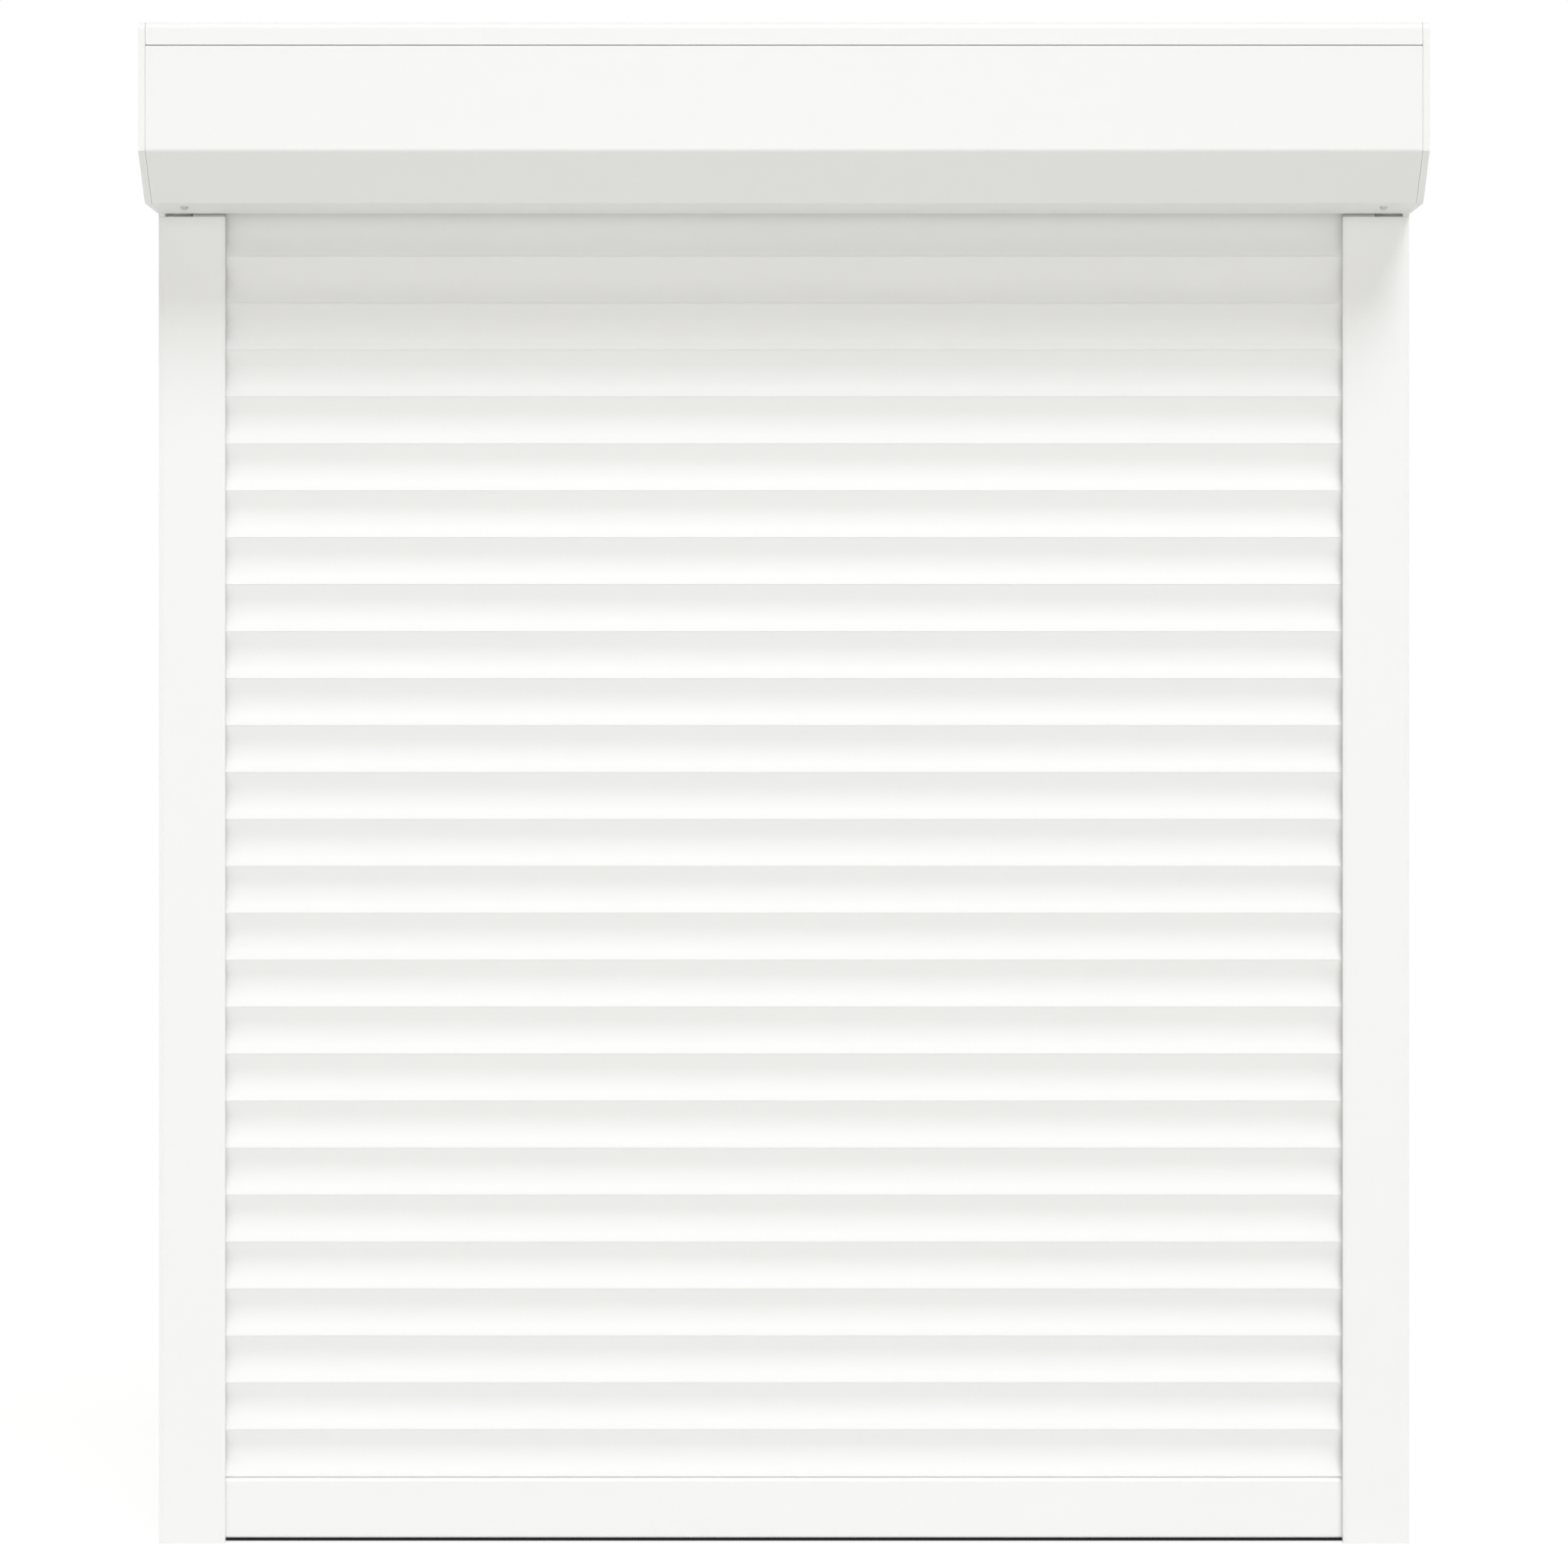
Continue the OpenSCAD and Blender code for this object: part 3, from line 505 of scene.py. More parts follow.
def eased(corners):
    """A section from corners (a, b, ease): each corner is cut back by its ease and rounded."""
    section = []
    for k, (a, b, cut) in enumerate(corners):
        here = Vector((a, b))
        if not cut:
            section.append(here)
            continue
        before = Vector(corners[k - 1][:2])
        after = Vector(corners[(k + 1) % len(corners)][:2])
        start = here + (before - here).normalized() * cut
        end = here + (after - here).normalized() * cut
        for step in range(EASE_STEPS + 1):
            share = step / EASE_STEPS
            section.append(start.lerp(here, share).lerp(here.lerp(end, share), share))
    return section


def along_x(point, x):
    return Vector((x, point[0], point[1]))


def along_z(point, z):
    return Vector((point[0], point[1], z))


class Shape:
    """The points, in millimetres, and the faces of a mesh in the making."""

    def __init__(self):
        self.points = []
        self.faces = []

    def row(self, points):
        """Adds points and gives their numbers."""
        first = len(self.points)
        self.points.extend(points)
        return list(range(first, len(self.points)))

    def wall(self, lower, upper):
        """Faces between two closed rings, either of which may be a single point."""
        count = max(len(lower), len(upper))
        for k in range(count):
            n = (k + 1) % count
            low_edge = [lower[k % len(lower)], lower[n % len(lower)]]
            high_edge = [upper[n % len(upper)], upper[k % len(upper)]]
            self.faces.append(tuple(dict.fromkeys(low_edge + high_edge)))

    def cover(self, rings):
        """Triangles over a flat ring, less the rings inside it."""
        numbers = [number for ring in rings for number in ring]
        outlines = [[self.points[number] for number in ring] for ring in rings]
        for corners in tessellate_polygon(outlines):
            self.faces.append(tuple(numbers[k] for k in corners))

    def pull(self, sections, near, far, place=along_x):
        """A section, less the sections inside it, pulled out between two places."""
        near_rings = [self.row([place(point, near) for point in section]) for section in sections]
        far_rings = [self.row([place(point, far) for point in section]) for section in sections]
        for near_ring, far_ring in zip(near_rings, far_rings):
            self.wall(near_ring, far_ring)
        self.cover(near_rings)
        self.cover(far_rings)

    def turn(self, profile, sides, origin, axis, closed=False):
        """A profile of (radius, height) turned about an axis through a point."""
        axis = Vector(axis)
        side = axis.orthogonal().normalized()
        other = axis.cross(side)
        rings = []
        for radius, height in profile:
            centre = Vector(origin) + axis * height
            angles = [math.tau * k / sides for k in range(sides if radius else 1)]
            rings.append(
                self.row([centre + radius * (side * math.cos(a) + other * math.sin(a)) for a in angles])
            )
        for lower, upper in zip(rings, rings[1:] + rings[:1] if closed else rings[1:]):
            self.wall(lower, upper)

    def mesh(self, name):
        mesh = bpy.data.meshes.new(name)
        mesh.from_pydata([point * MM for point in self.points], [], self.faces)
        work = bmesh.new()
        work.from_mesh(mesh)
        bmesh.ops.recalc_face_normals(work, faces=work.faces)
        work.to_mesh(mesh)
        work.free()
        return mesh


def make_piece(name, mesh, slot, body, *replaced):
    """A piece with its finish and shading, which rides on a body and stands for solids."""
    mesh.materials.clear()
    mesh.materials.append(finishes[slot])
    mesh.shade_smooth()
    mesh.set_sharp_from_angle(angle=SHARP_ANGLE)
    piece = bpy.data.objects.new(name, mesh)
    bpy.context.scene.collection.objects.link(piece)
    even_shading(piece)
    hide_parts(*replaced)
    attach(piece, body)
    return piece


print("helpers ready")

# %% [markdown]
# ## The slats
# Each slat is rolled from aluminium strip round a foam core, hollow towards the street. On its
# head stands a hook, and its foot wraps round the hook of the slat below, so that the curtain
# folds round the roller but can't come apart. Slots in the neck of the hook let in light and air
# when the curtain is lifted a little. In the photograph the street face keeps one shade over its
# top third and then fades to white, so it is drawn with a flat at its head and its foot and a
# bend between them. Closed slats lie edge to edge on that side, as no dark line shows between
# them, and part a little more on the side of the room.

# %% Draw the slat's section
CURTAIN_Y = -11.0
SLAT_PITCH = 37.6
SLAT_LONG = 934.0
SLAT_SEAM = 0.1
SOLID_SEAM = 0.4
SLAT_SAG = 3.2
SLAT_BODY = 5.3
SLAT_WALL = 0.75
SLAT_EASE = 0.15
BACK_EASE = 0.4
SLAT_MID = SLAT_PITCH / 2
ARC_STEPS = 40
HEAD_FLAT = 0.30
FOOT_FLAT = 0.20
BEND_SHARE = 1 - HEAD_FLAT - FOOT_FLAT
HEAD_SLOPE = 0.26
FOOT_SLOPE = HEAD_SLOPE * (HEAD_FLAT + BEND_SHARE / 2) / (FOOT_FLAT + BEND_SHARE / 2)
half_chord = SLAT_MID - SOLID_SEAM / 2
FRONT_R = (half_chord**2 + SLAT_SAG**2) / (2 * SLAT_SAG)
BACK_R = FRONT_R + SLAT_BODY
ARC_CENTRE_Y = CURTAIN_Y + (SLAT_SAG + SLAT_BODY) / 2 - BACK_R

HOOK_CLEAR = 0.3
HOOK_WIDE = 2.2
NECK_THICK = 0.9
LIP_TOP = 1.0
HOOK_UNDER = 2.9
HOOK_TIP = 4.1
RECEIVER_TOP = HOOK_TIP + HOOK_CLEAR
RECEIVER_WIDE = 2.8


def arc_y(radius, z):
    return ARC_CENTRE_Y + math.sqrt(radius**2 - (z - SLAT_MID) ** 2)


def street_y(inset, z):
    """The street face, or a line so far behind it: flat at head and foot, and bent between them."""
    share = 1 - z / SLAT_PITCH
    bend = min(max(share - HEAD_FLAT, 0.0), BEND_SHARE)
    past = max(share - HEAD_FLAT - BEND_SHARE, 0.0)
    fall = HEAD_SLOPE * share - (HEAD_SLOPE + FOOT_SLOPE) * (bend**2 / (2 * BEND_SHARE) + past)
    return CURTAIN_Y - (SLAT_SAG + SLAT_BODY) / 2 + SLAT_PITCH * fall + inset


def room_y(inset, z):
    """The face to the room, or a line so far before it: an arc."""
    return arc_y(BACK_R - inset, z)


def slat_line(face_y, inset, low, high, ease_by=0.0):
    """Corners along one of the slat's faces, with only the two ends eased."""
    heights = [low + (high - low) * k / ARC_STEPS for k in range(ARC_STEPS + 1)]
    return [(face_y(inset, z), z, ease_by if z in (low, high) else 0.0) for z in heights]


RECEIVER_FRONT = arc_y(FRONT_R, RECEIVER_TOP) + SLAT_WALL
RECEIVER_BACK = RECEIVER_FRONT + RECEIVER_WIDE
NECK_FRONT = RECEIVER_FRONT + HOOK_CLEAR
NECK_BACK = NECK_FRONT + NECK_THICK
HOOK_BACK = NECK_FRONT + HOOK_WIDE
LIP_FRONT = NECK_BACK + HOOK_CLEAR
VENT_TALL = 2.0
VENT_LOW = SLAT_PITCH + 0.2
VENT_HIGH = VENT_LOW + VENT_TALL
VENT_LONG = 22.0
VENT_PITCH = 36.0
VENT_COUNT = 25

foot = SLAT_SEAM / 2
head = SLAT_PITCH - SLAT_SEAM / 2
back_foot = SOLID_SEAM / 2
back_head = SLAT_PITCH - SOLID_SEAM / 2
hook_top = SLAT_PITCH + HOOK_TIP
hook_low = SLAT_PITCH + HOOK_UNDER
hook_corners = [
    (NECK_FRONT, head, 0.0), (NECK_FRONT, VENT_LOW, 0.0), (NECK_FRONT, VENT_HIGH, 0.0),
    (NECK_FRONT, hook_top, 0.3), (HOOK_BACK, hook_top, 0.3), (HOOK_BACK, hook_low, 0.2),
    (NECK_BACK, hook_low, 0.0), (NECK_BACK, VENT_HIGH, 0.0), (NECK_BACK, VENT_LOW, 0.0),
    (NECK_BACK, back_head, 0.0),
]
receiver_corners = [
    (LIP_FRONT, back_foot, 0.15), (LIP_FRONT, LIP_TOP, 0.15), (RECEIVER_BACK, LIP_TOP, 0.0),
    (RECEIVER_BACK, RECEIVER_TOP, 0.3), (RECEIVER_FRONT, RECEIVER_TOP, 0.3),
    (RECEIVER_FRONT, foot, 0.15),
]
slat_section = eased(
    slat_line(street_y, 0.0, foot, head, SLAT_EASE) + hook_corners
    + slat_line(room_y, 0.0, back_head, back_foot, BACK_EASE) + receiver_corners
)


def slat_band(inset, low, high, ease_by=0.0):
    """A band of the slat's curve, thinner than the slat by an inset on each face."""
    return eased(
        slat_line(street_y, inset, low, high, ease_by) + slat_line(room_y, inset, high, low, ease_by)
    )


slat_hollow = slat_band(SLAT_WALL, RECEIVER_TOP + SLAT_WALL, back_head - SLAT_WALL)
hollow_deep = max(point[0] for point in slat_line(street_y, 0.0, foot, head)) - street_y(0.0, foot)
print("slat section:", len(slat_section), "points, hollow by mm:", round(hollow_deep, 2))

# %% [markdown]
# ## Vents and end locks
# The vents are punched before the strip is rolled. A Boolean could cut them, but it would be slow
# for 25 vents in each of 27 slats and would leave thin triangles, so the faces of the hook's neck
# are laid between the vents from the start. Every second slat carries a plastic lock at each end,
# which keeps the slats from wandering sideways. Its plate follows the slat's curve and its peg
# sits in the slat's hollow, so both are bands of the same section.

# %% Make the slats with their vents and end locks
SAME_HEIGHT = 0.001
vent_edges = []
for k in range(VENT_COUNT):
    middle = (k + 0.5 - VENT_COUNT / 2) * VENT_PITCH
    vent_edges += [middle - VENT_LONG / 2, middle + VENT_LONG / 2]


def on_vent(point):
    """Whether a point of the section lies on the lower or upper edge of the vents."""
    return min(abs(point[1] - VENT_LOW), abs(point[1] - VENT_HIGH)) < SAME_HEIGHT


def slat_shape(base):
    """A slat on its base height: long faces between the ends, broken by slots on the hook's neck."""
    shape = Shape()
    ends = [-SLAT_LONG / 2, SLAT_LONG / 2]
    lines = []
    for y, z in slat_section:
        places = [ends[0], *vent_edges, ends[1]] if on_vent((y, z)) else ends
        lines.append(shape.row([Vector((x, y, base + z)) for x in places]))
    slotted = []
    for k, line in enumerate(lines):
        following = (k + 1) % len(lines)
        if on_vent(slat_section[k]) and on_vent(slat_section[following]):
            slotted.append((line, lines[following]))
            for i in range(0, len(line), 2):
                shape.faces.append((line[i], line[i + 1], lines[following][i + 1], lines[following][i]))
        else:
            shape.faces.append((*line, *reversed(lines[following])))
    rows = [line for pair in slotted for line in pair]
    for i in range(1, len(rows[0]) - 1, 2):
        near = [row[i] for row in rows]
        far = [row[i + 1] for row in rows]
        shape.faces += [tuple(near), tuple(far)]
        shape.faces.append((near[1], near[2], far[2], far[1]))
        shape.faces.append((near[3], near[0], far[0], far[3]))
    hollow = [[Vector((x, y, base + z)) for y, z in slat_hollow] for x in ends]
    hollow_rings = [shape.row(ring) for ring in hollow]
    shape.wall(*hollow_rings)
    shape.cover([[line[0] for line in lines], hollow_rings[0]])
    shape.cover([[line[-1] for line in lines], hollow_rings[1]])
    return shape


LOCK_OUT = 470.0
LOCK_FACE = SLAT_LONG / 2 + 0.05
LOCK_IN = SLAT_LONG / 2 - 15.0
PLATE_INSET = 0.3
PEG_INSET = 0.85
lock_plate = slat_band(PLATE_INSET, RECEIVER_TOP, SLAT_PITCH - 0.95, 0.6)
lock_peg = slat_band(PEG_INSET, RECEIVER_TOP + PEG_INSET, SLAT_PITCH - 1.05, 0.4)
lock_parts = [(lock_plate, LOCK_FACE, LOCK_OUT), (lock_peg, LOCK_IN, LOCK_FACE)]


def lock_shape(base):
    """A pair of end locks, each a plate with a peg in the slat's hollow."""
    shape = Shape()
    for side in (-1, 1):
        for section, inner, outer in lock_parts:
            raised = [Vector((y, base + z)) for y, z in section]
            shape.pull([raised], side * inner, side * outer)
    return shape


slat_nodes = sorted(name for name in solids if name.startswith("slat_"))
for number, node in enumerate(slat_nodes, 1):
    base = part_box(node)[0].z / MM - SOLID_SEAM / 2
    make_piece(f"formed_{node}", slat_shape(base).mesh(node), "slat_white", node, node)
    if number % 2 == 0:
        locks = f"end_locks_{number:02d}"
        make_piece(locks, lock_shape(base).mesh(locks), "dark_plastic", node, node)
print("slats:", len(slat_nodes), "vents in each:", VENT_COUNT)

# %% [markdown]
# ## Brush strips in the rails
# A brush strip keeps the slats from rattling in each lip of the rail. On the real strip, tufts of
# nylon stand in a woven backing. Hair particles would give every bristle, but they don't go out
# with the model, so each tuft is a small splayed wedge, leaning a little its own way.

# %% Make the brush strips
BRUSH_X = 451.0
BRUSH_BACK = 6.8
BRUSH_TIP = 4.6
BRUSH_FOOT = 2.0
BACKING_HALF = 2.3
BACKING_THICK = 1.1
TUFT_PITCH = 2.0
TUFT_ROWS = (-0.7, 0.7)
TUFT_SWAY = 0.25
TUFT_ROOT = (0.45, 0.5)
TUFT_END = (0.68, 0.95)
TUFT_SUNK = 0.2
TUFT_CORNERS = ((1, 0), (0.5, 0.8), (-0.5, 0.8), (-1, 0), (-0.5, -0.8), (0.5, -0.8))
tuft_lean = random.Random(11)


def brush_shape(side, top):
    """The front and back strips of one rail, with two rows of tufts each."""
    shape = Shape()
    for face in (-1, 1):
        near = CURTAIN_Y + face * BRUSH_BACK
        far = near + face * BACKING_THICK
        x = side * BRUSH_X
        left = x - BACKING_HALF
        right = x + BACKING_HALF
        backing = eased([(left, near, 0.2), (right, near, 0.2), (right, far, 0.3), (left, far, 0.3)])
        shape.pull([backing], BRUSH_FOOT, top, along_z)
        root = near + face * TUFT_SUNK
        tip = CURTAIN_Y + face * BRUSH_TIP
        for k in range(int((top - BRUSH_FOOT) / TUFT_PITCH)):
            z = BRUSH_FOOT + (k + 0.5) * TUFT_PITCH
            for row in TUFT_ROWS:
                sway = tuft_lean.uniform(-TUFT_SWAY, TUFT_SWAY)
                rings = []
                for y, (wide, tall), lean in ((root, TUFT_ROOT, 0), (tip, TUFT_END, sway)):
                    centre = Vector((x + row, y, z + lean))
                    corners = [centre + Vector((wide * a, 0, tall * b)) for a, b in TUFT_CORNERS]
                    rings.append(shape.row(corners))
                shape.wall(*rings)
                shape.faces += [tuple(rings[0]), tuple(rings[1])]
    return shape


for side, node in ((-1, "left_rail_brushes"), (1, "right_rail_brushes")):
    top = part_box(node)[1].z / MM
    make_piece(f"tufted_{node}", brush_shape(side, top).mesh(node), "brush_grey", "frame", node)
print("tufts in each strip:", 2 * int((top - BRUSH_FOOT) / TUFT_PITCH))

# %% [markdown]
# ## Screws
# Two small pan head screws hold the cover from below, and four larger ones each bracket inside
# the box. The head is turned from a rounded profile. Its cross recess is cut with a Boolean,
# which is then applied so that no cutter stays in the scene.

# %% Turn the screws and cut their cross recess
SCREW_SIDES = 32
SOLID_HEAD_R = 3.75
HEAD_H = 2.3
SHANK_R = 1.9
CROSS_LONG = 0.61
CROSS_WIDE = 0.15
CROSS_DEEP = 1.3
CROSS_STEP = 0.05
CROSS_FOOT = 0.45
CROSS_MOUTH = 1.15
DOME_SHARE = 0.86
DOME_RISE = 0.45
DOME_ANGLES = (0, 0.4, 0.8, 1.2, 1.57)
RIM_SHARES = ((0.96, 0.34), (1.0, 0.18))
SEAT_EASE = 0.15
POINT_LONG = 0.8
POINT_IN = 0.5


def head_profile(head_r, shank):
    """From the middle of the dome out over the rim and down the shank to its point."""
    dome_r = head_r * DOME_SHARE
    dome_foot = 1 - DOME_RISE
    dome = [(dome_r * math.sin(a), HEAD_H * (dome_foot + DOME_RISE * math.cos(a))) for a in DOME_ANGLES]
    rim = [(head_r * wide, HEAD_H * high) for wide, high in RIM_SHARES]
    seat = [(head_r, SEAT_EASE), (head_r - SEAT_EASE, 0.0), (SHANK_R, 0.0)]
    point = [(SHANK_R, POINT_LONG - shank), (SHANK_R - POINT_IN, -shank), (0, -shank)]
    return dome + rim + seat + point


def cross_cutter(top, axis, head_r):
    """Two crossed wedges that narrow downwards, one a step deeper so that no faces coincide."""
    shape = Shape()
    axis = Vector(axis)
    side = axis.orthogonal().normalized()
    for long_way, deep in ((side, CROSS_DEEP), (axis.cross(side), CROSS_DEEP + CROSS_STEP)):
        across = axis.cross(long_way)
        rings = []
        for height, grow in ((-deep, CROSS_FOOT), (deep, CROSS_MOUTH)):
            centre = top + axis * height
            long_half = long_way * (CROSS_LONG * head_r * grow)
            wide_half = across * (CROSS_WIDE * head_r * grow)
            corners = ((1, 1), (-1, 1), (-1, -1), (1, -1))
            rings.append(shape.row([centre + a * long_half + b * wide_half for a, b in corners]))
        shape.wall(*rings)
        shape.faces += [tuple(rings[0]), tuple(rings[1])]
    return shape


def cut_away(mesh, cutter):
    """A mesh less a cutter, with the Boolean applied."""
    scene = bpy.context.scene.collection.objects
    blank = bpy.data.objects.new("blank", mesh)
    tool = bpy.data.objects.new("tool", cutter)
    scene.link(blank)
    scene.link(tool)
    boolean = blank.modifiers.new("cut", "BOOLEAN")
    boolean.object = tool
    boolean.use_self = True
    graph = bpy.context.evaluated_depsgraph_get()
    result = bpy.data.meshes.new_from_object(blank.evaluated_get(graph))
    bpy.data.objects.remove(blank)
    bpy.data.objects.remove(tool)
    return result


def screws(name, places, axis, head_r, shank, node):
    """Screws whose heads stand on the given places and face along the axis."""
    blanks = Shape()
    recesses = Shape()
    for place in places:
        blanks.turn(head_profile(head_r, shank), SCREW_SIDES, place, axis)
        cutter = cross_cutter(Vector(place) + Vector(axis) * HEAD_H, axis, head_r)
        first = len(recesses.points)
        recesses.row(cutter.points)
        recesses.faces += [tuple(first + n for n in face) for face in cutter.faces]
    mesh = cut_away(blanks.mesh(name), recesses.mesh("recesses"))
    make_piece(name, mesh, "screw_steel", "frame", node)


COVER_HEAD_R = 3.1
COVER_SHANK = 10.0
cover_low, cover_high = (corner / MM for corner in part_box("cover_screws"))
cover_y = (cover_low.y + cover_high.y) / 2
cover_z = cover_low.z + HEAD_H
cover_ends = (cover_low.x + SOLID_HEAD_R, cover_high.x - SOLID_HEAD_R)
cover_places = [(x, cover_y, cover_z) for x in cover_ends]
screws("cover_screws_crossed", cover_places, (0, 0, -1), COVER_HEAD_R, COVER_SHANK, "cover_screws")

bracket_low, bracket_high = (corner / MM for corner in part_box("bracket_screws"))
BRACKET_SHANK = 7.5
bracket_x = bracket_high.x - BRACKET_SHANK
for side, name in ((-1, "left_bracket_screws"), (1, "right_bracket_screws")):
    bracket_places = [
        (side * bracket_x, y, z)
        for y in (bracket_low.y + SOLID_HEAD_R, bracket_high.y - SOLID_HEAD_R)
        for z in (bracket_low.z + SOLID_HEAD_R, bracket_high.z - SOLID_HEAD_R)
    ]
    screws(name, bracket_places, (-side, 0, 0), SOLID_HEAD_R, BRACKET_SHANK, "bracket_screws")
print("screws:", len(cover_places) + 2 * len(bracket_places))

# %% [markdown]
# ## The rolled cover
# The inspection cover is one sheet, formed between rollers: it hooks in behind the strip at the
# seam, and a fold at the curtain's mouth stiffens it. Rollers leave a round bend, which softens
# the line between front and bevel. A Bevel modifier would stop far short of that radius, because
# the edges of a thin sheet lie so close together, so the sheet is drawn as a bent line with a
# thickness and its corners are eased.

# %% Roll the cover and drill its screw holes
SHEET = 1.2
BOX_BEVEL = 37.0
SEAM_GAP = 0.7
SEAM_FOLD = 6.3
MOUTH_FOLD = 8.0
BEND_OUT = 1.85
BEND_IN = 0.9
RIM_EASE = 0.2
SCREW_HOLE_R = 2.2


def sheet_section(line, thick):
    """The section of a sheet bent along a line, with its thickness on the line's left."""
    offset = []
    for k, point in enumerate(line):
        ahead = (line[min(k + 1, len(line) - 1)] - line[min(k, len(line) - 2)]).normalized()
        behind = (line[max(k, 1)] - line[max(k - 1, 0)]).normalized()
        left = Vector((-ahead.y, ahead.x)) + Vector((-behind.y, behind.x))
        offset.append(point + left * thick / (1 + ahead.dot(behind)))
    return line + offset[::-1]


sheet_low, sheet_high = (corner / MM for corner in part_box("front_cover"))
hook_y = sheet_low.y + SEAM_FOLD
seam_z = sheet_high.z - 2 * SHEET - SEAM_GAP
cover_line = [
    Vector((hook_y, sheet_high.z)), Vector((hook_y, seam_z)), Vector((sheet_low.y, seam_z)),
    Vector((sheet_low.y, sheet_low.z + BOX_BEVEL)), Vector((sheet_low.y + BOX_BEVEL, sheet_low.z)),
    Vector((sheet_high.y, sheet_low.z)), Vector((sheet_high.y, sheet_low.z + MOUTH_FOLD)),
]
outer_cuts = [RIM_EASE, RIM_EASE, RIM_EASE, BEND_OUT, BEND_OUT, BEND_OUT, RIM_EASE]
inner_cuts = [RIM_EASE, RIM_EASE, BEND_IN, BEND_IN, RIM_EASE, RIM_EASE, RIM_EASE]
cover_corners = zip(sheet_section(cover_line, SHEET), outer_cuts + inner_cuts)
rolled = Shape()
rolled.pull([eased([(*corner, cut) for corner, cut in cover_corners])], sheet_low.x, sheet_high.x)
holes = Shape()
hole_profile = [(0, -SHEET), (SCREW_HOLE_R, -SHEET), (SCREW_HOLE_R, 2 * SHEET), (0, 2 * SHEET)]
for place in cover_places:
    holes.turn(hole_profile, SCREW_SIDES, place, (0, 0, 1))
cover_mesh = cut_away(rolled.mesh("rolled_front_cover"), holes.mesh("holes"))
make_piece("rolled_front_cover", cover_mesh, "box_white", "frame", "front_cover")
print("cover rolled from sheet of mm:", SHEET, "with screw holes:", len(cover_places))

# %% [markdown]
# ## Rubber seal and grommet
# The seal is a soft extrusion: a bead slides into the end bar's groove, and a round lip below it
# closes on the sill. The grommet in the back of the box lines the hole for the motor's cable.
# Both have generous radii, since rubber isn't moulded with sharp edges.

# %% Make the seal and the grommet
SEAL_HALF = 3.0
BAR_FOOT = 3.5
SEAL_TOP = BAR_FOOT - 0.1
SEAL_LOW = 0.3
BEAD_HALF = 2.4
NECK_HALF = 1.45
BEAD_LOW = BAR_FOOT + 1.3
BEAD_HIGH = BAR_FOOT + 2.7
LIP_STEPS = 20


def seal_corners():
    """The round lip, then the neck and bead on the side of the room, then on that of the street."""
    angles = [math.pi + math.pi * k / LIP_STEPS for k in range(LIP_STEPS + 1)]
    drop = SEAL_TOP - SEAL_LOW
    lip = [(SEAL_HALF * math.cos(a), SEAL_TOP + drop * math.sin(a), 0.0) for a in angles]
    room_side = [
        (NECK_HALF, SEAL_TOP, 0.3), (NECK_HALF, BEAD_LOW, 0.2), (BEAD_HALF, BEAD_LOW, 0.4),
        (BEAD_HALF, BEAD_HIGH, 0.4),
    ]
    street_side = [(-y, z, cut) for y, z, cut in reversed(room_side)]
    return [(CURTAIN_Y + y, z, cut) for y, z, cut in lip + room_side + street_side]


seal = Shape()
seal.pull([eased(seal_corners())], -SLAT_LONG / 2, SLAT_LONG / 2)
make_piece("lip_seal", seal.mesh("lip_seal"), "black_rubber", "end_bar", "end_bar_seal")

GROMMET_WAY = 4.0
GROMMET_NECK = 6.76
GROMMET_FLANGE = 9.5
GROMMET_BACK = 0.2
GROMMET_STEP = 1.25
GROMMET_DEEP = 4.0
GROMMET_SIDES = 40
grommet_low, grommet_high = (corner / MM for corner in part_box("cable_grommet"))
grommet_middle = (grommet_low + grommet_high) / 2
grommet_profile = eased([
    (GROMMET_WAY, GROMMET_BACK, 0.5), (GROMMET_NECK, GROMMET_BACK, 0.4),
    (GROMMET_NECK, GROMMET_STEP, 0.0), (GROMMET_FLANGE, GROMMET_STEP, 0.5),
    (GROMMET_FLANGE, GROMMET_DEEP, 0.9), (GROMMET_WAY, GROMMET_DEEP, 0.7),
])
grommet = Shape()
grommet_origin = (grommet_middle.x, 0.0, grommet_middle.z)
grommet.turn(grommet_profile, GROMMET_SIDES, grommet_origin, (0, -1, 0), closed=True)
make_piece("soft_grommet", grommet.mesh("soft_grommet"), "black_rubber", "frame", "cable_grommet")
print("seal and grommet made, grommet at x in mm:", round(grommet_middle.x, 1))

# %% [markdown]
# ## Suspension bands
# Three spring steel bands hang the curtain on the roller. The end in the tube's slot turns with
# the tube, the clip stays on the hook of the top slat, and the straight run between them winds up
# as the curtain rises. The run can't follow any one body, so it rides on the frame with a mesh of
# its own.

# %% Make the bands in three parts
BAND_WIDE = 40.0
BAND_THICK = 0.6
BAND_COUNT = 3
BAND_START = math.radians(120)
TUBE_AF = 40.0
TUBE_SIDES = 8
SLOT_R = 18.0
BAND_LIFT = 0.3
BAND_R = TUBE_AF / 2 / math.cos(math.pi / TUBE_SIDES) + BAND_LIFT
BAND_STEPS = 24
RUN_STEPS = 8
CLIP_WALL = 0.9
tube_low, tube_high = (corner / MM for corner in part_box("roller_tube"))
tube_centre = Vector(((tube_low.y + tube_high.y) / 2, (tube_low.z + tube_high.z) / 2))
CURTAIN_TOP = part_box(slat_nodes[-1])[0].z / MM - SOLID_SEAM / 2 + SLAT_PITCH
CLIP_FRONT = RECEIVER_FRONT - SLAT_WALL
CLIP_BACK = RECEIVER_BACK + SLAT_WALL
CLIP_FOOT = CURTAIN_TOP + 0.2
CLIP_TOP = CURTAIN_TOP + RECEIVER_TOP + CLIP_WALL
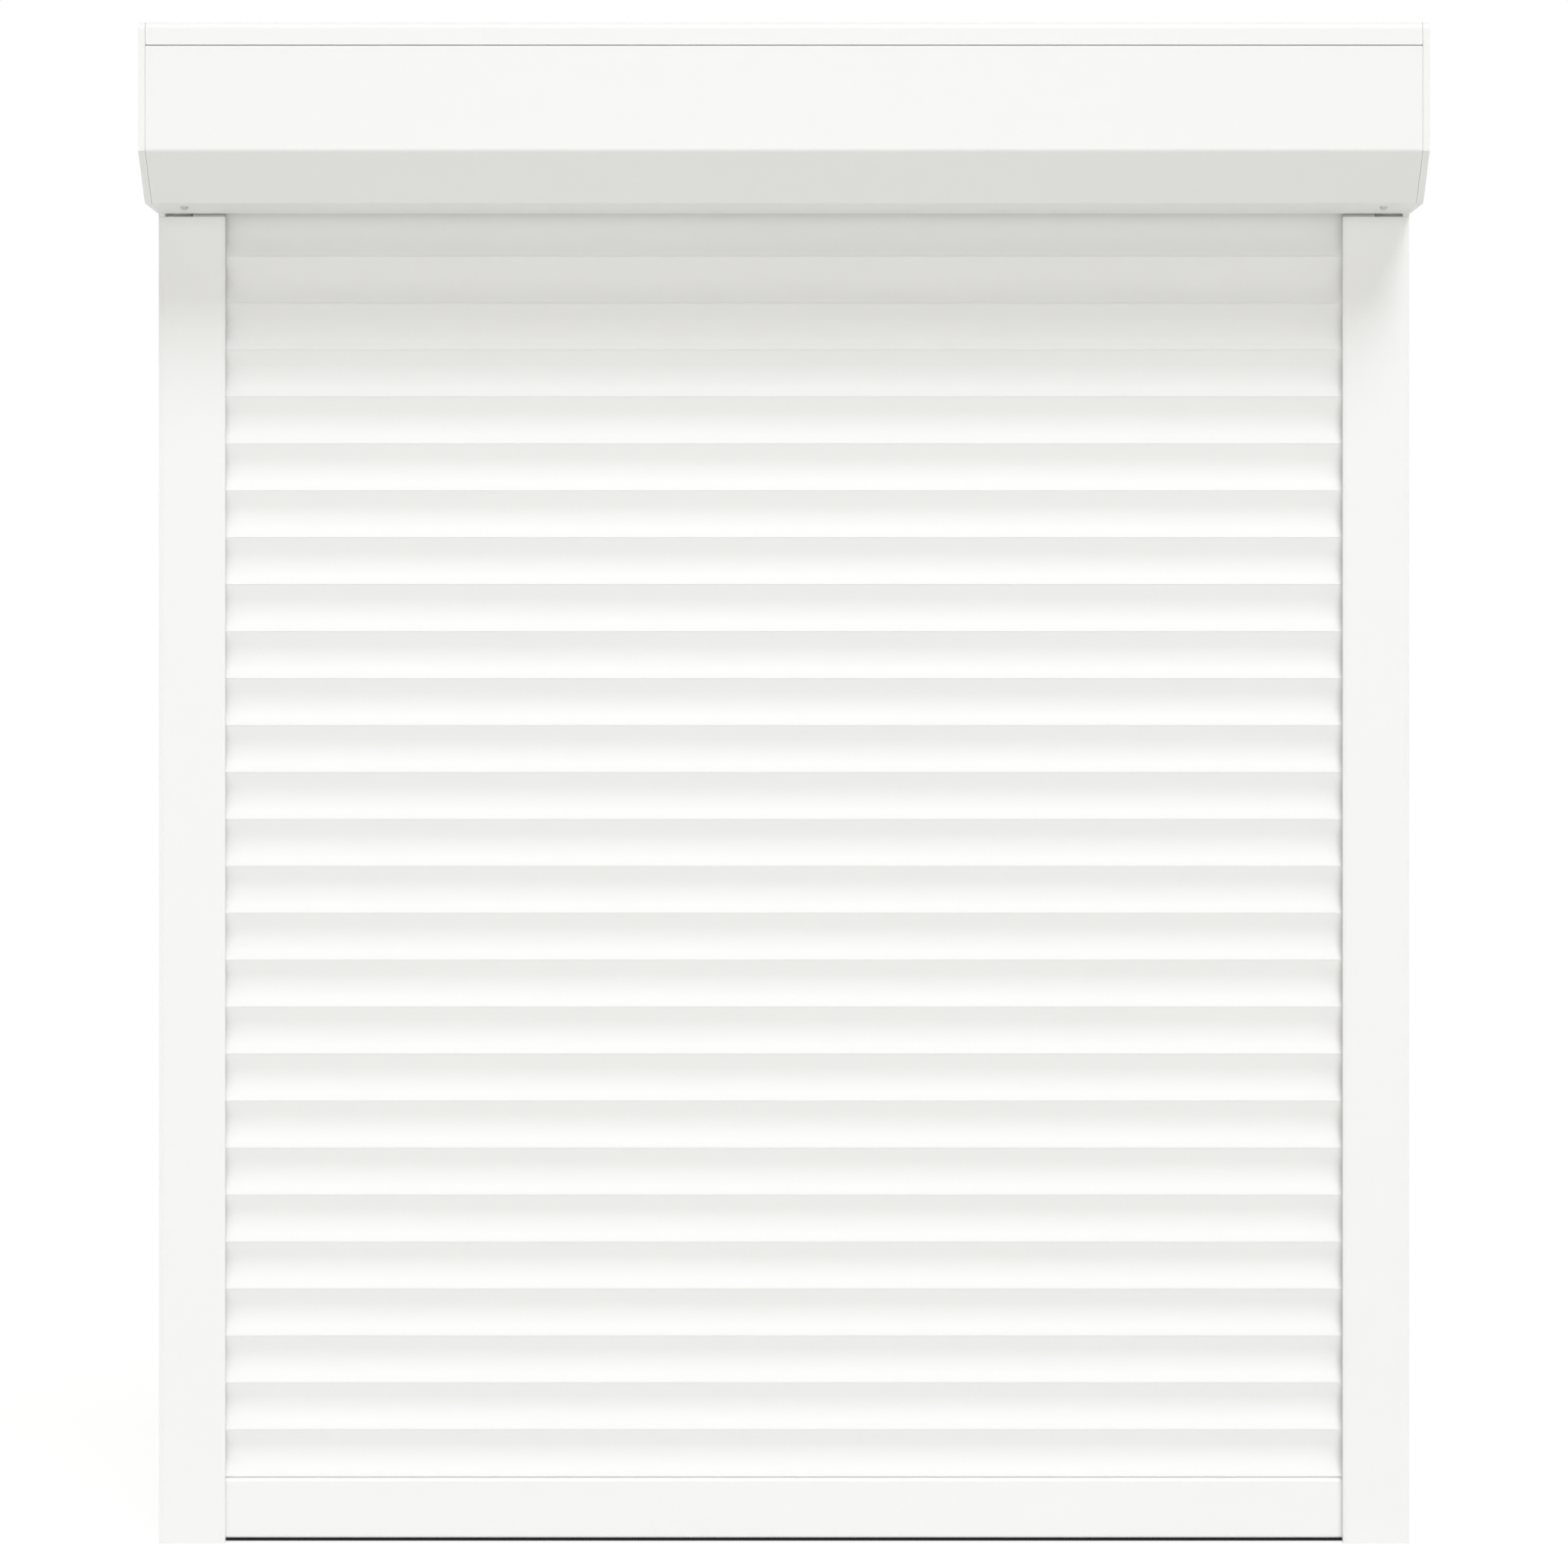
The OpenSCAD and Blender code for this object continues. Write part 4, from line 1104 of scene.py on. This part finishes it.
band_seat = Vector(((CLIP_FRONT + CLIP_BACK) / 2, CLIP_TOP - BAND_THICK))
away = band_seat - tube_centre
band_leave = math.atan2(away.y, away.x) + math.acos(BAND_R / away.length)


def round_tube(radius, angle):
    return tube_centre + radius * Vector((math.cos(angle), math.sin(angle)))


turns = [BAND_START + (band_leave - BAND_START) * k / BAND_STEPS for k in range(BAND_STEPS + 1)]
wrap_line = [round_tube(SLOT_R, BAND_START)] + [round_tube(BAND_R, a) for a in turns]
tangent = round_tube(BAND_R, band_leave)
run_line = [tangent.lerp(band_seat, k / RUN_STEPS) for k in range(RUN_STEPS + 1)]
clip_section = eased([
    (CLIP_FRONT, CLIP_FOOT, 0.2), (CLIP_FRONT, CLIP_TOP, 0.6), (CLIP_BACK, CLIP_TOP, 0.6),
    (CLIP_BACK, CLIP_FOOT, 0.2), (LIP_FRONT, CLIP_FOOT, 0.15),
    (LIP_FRONT, CURTAIN_TOP + LIP_TOP, 0.15), (RECEIVER_BACK, CURTAIN_TOP + LIP_TOP, 0.0),
    (RECEIVER_BACK, CURTAIN_TOP + RECEIVER_TOP, 0.3),
    (RECEIVER_FRONT, CURTAIN_TOP + RECEIVER_TOP, 0.3), (RECEIVER_FRONT, CLIP_FOOT, 0.15),
])

band_parts = {
    "band_wraps": (sheet_section(wrap_line, BAND_THICK), "roller"),
    "band_runs": (sheet_section(run_line, BAND_THICK), "frame"),
    "band_clips": (clip_section, slat_nodes[-1]),
}
for name, (section, body) in band_parts.items():
    shape = Shape()
    for k in range(BAND_COUNT):
        middle = SLAT_LONG * ((k + 0.5) / BAND_COUNT - 0.5)
        shape.pull([section], middle - BAND_WIDE / 2, middle + BAND_WIDE / 2)
    piece = make_piece(name, shape.mesh(name), "zinc_steel", body, "suspension_bands")
    if name == "band_runs":
        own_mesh(piece)
print("bands:", BAND_COUNT, "leaving the tube at", round(math.degrees(band_leave), 1), "degrees")

# %% [markdown]
# ## Size
# The finer pieces must not outgrow the measured solids.
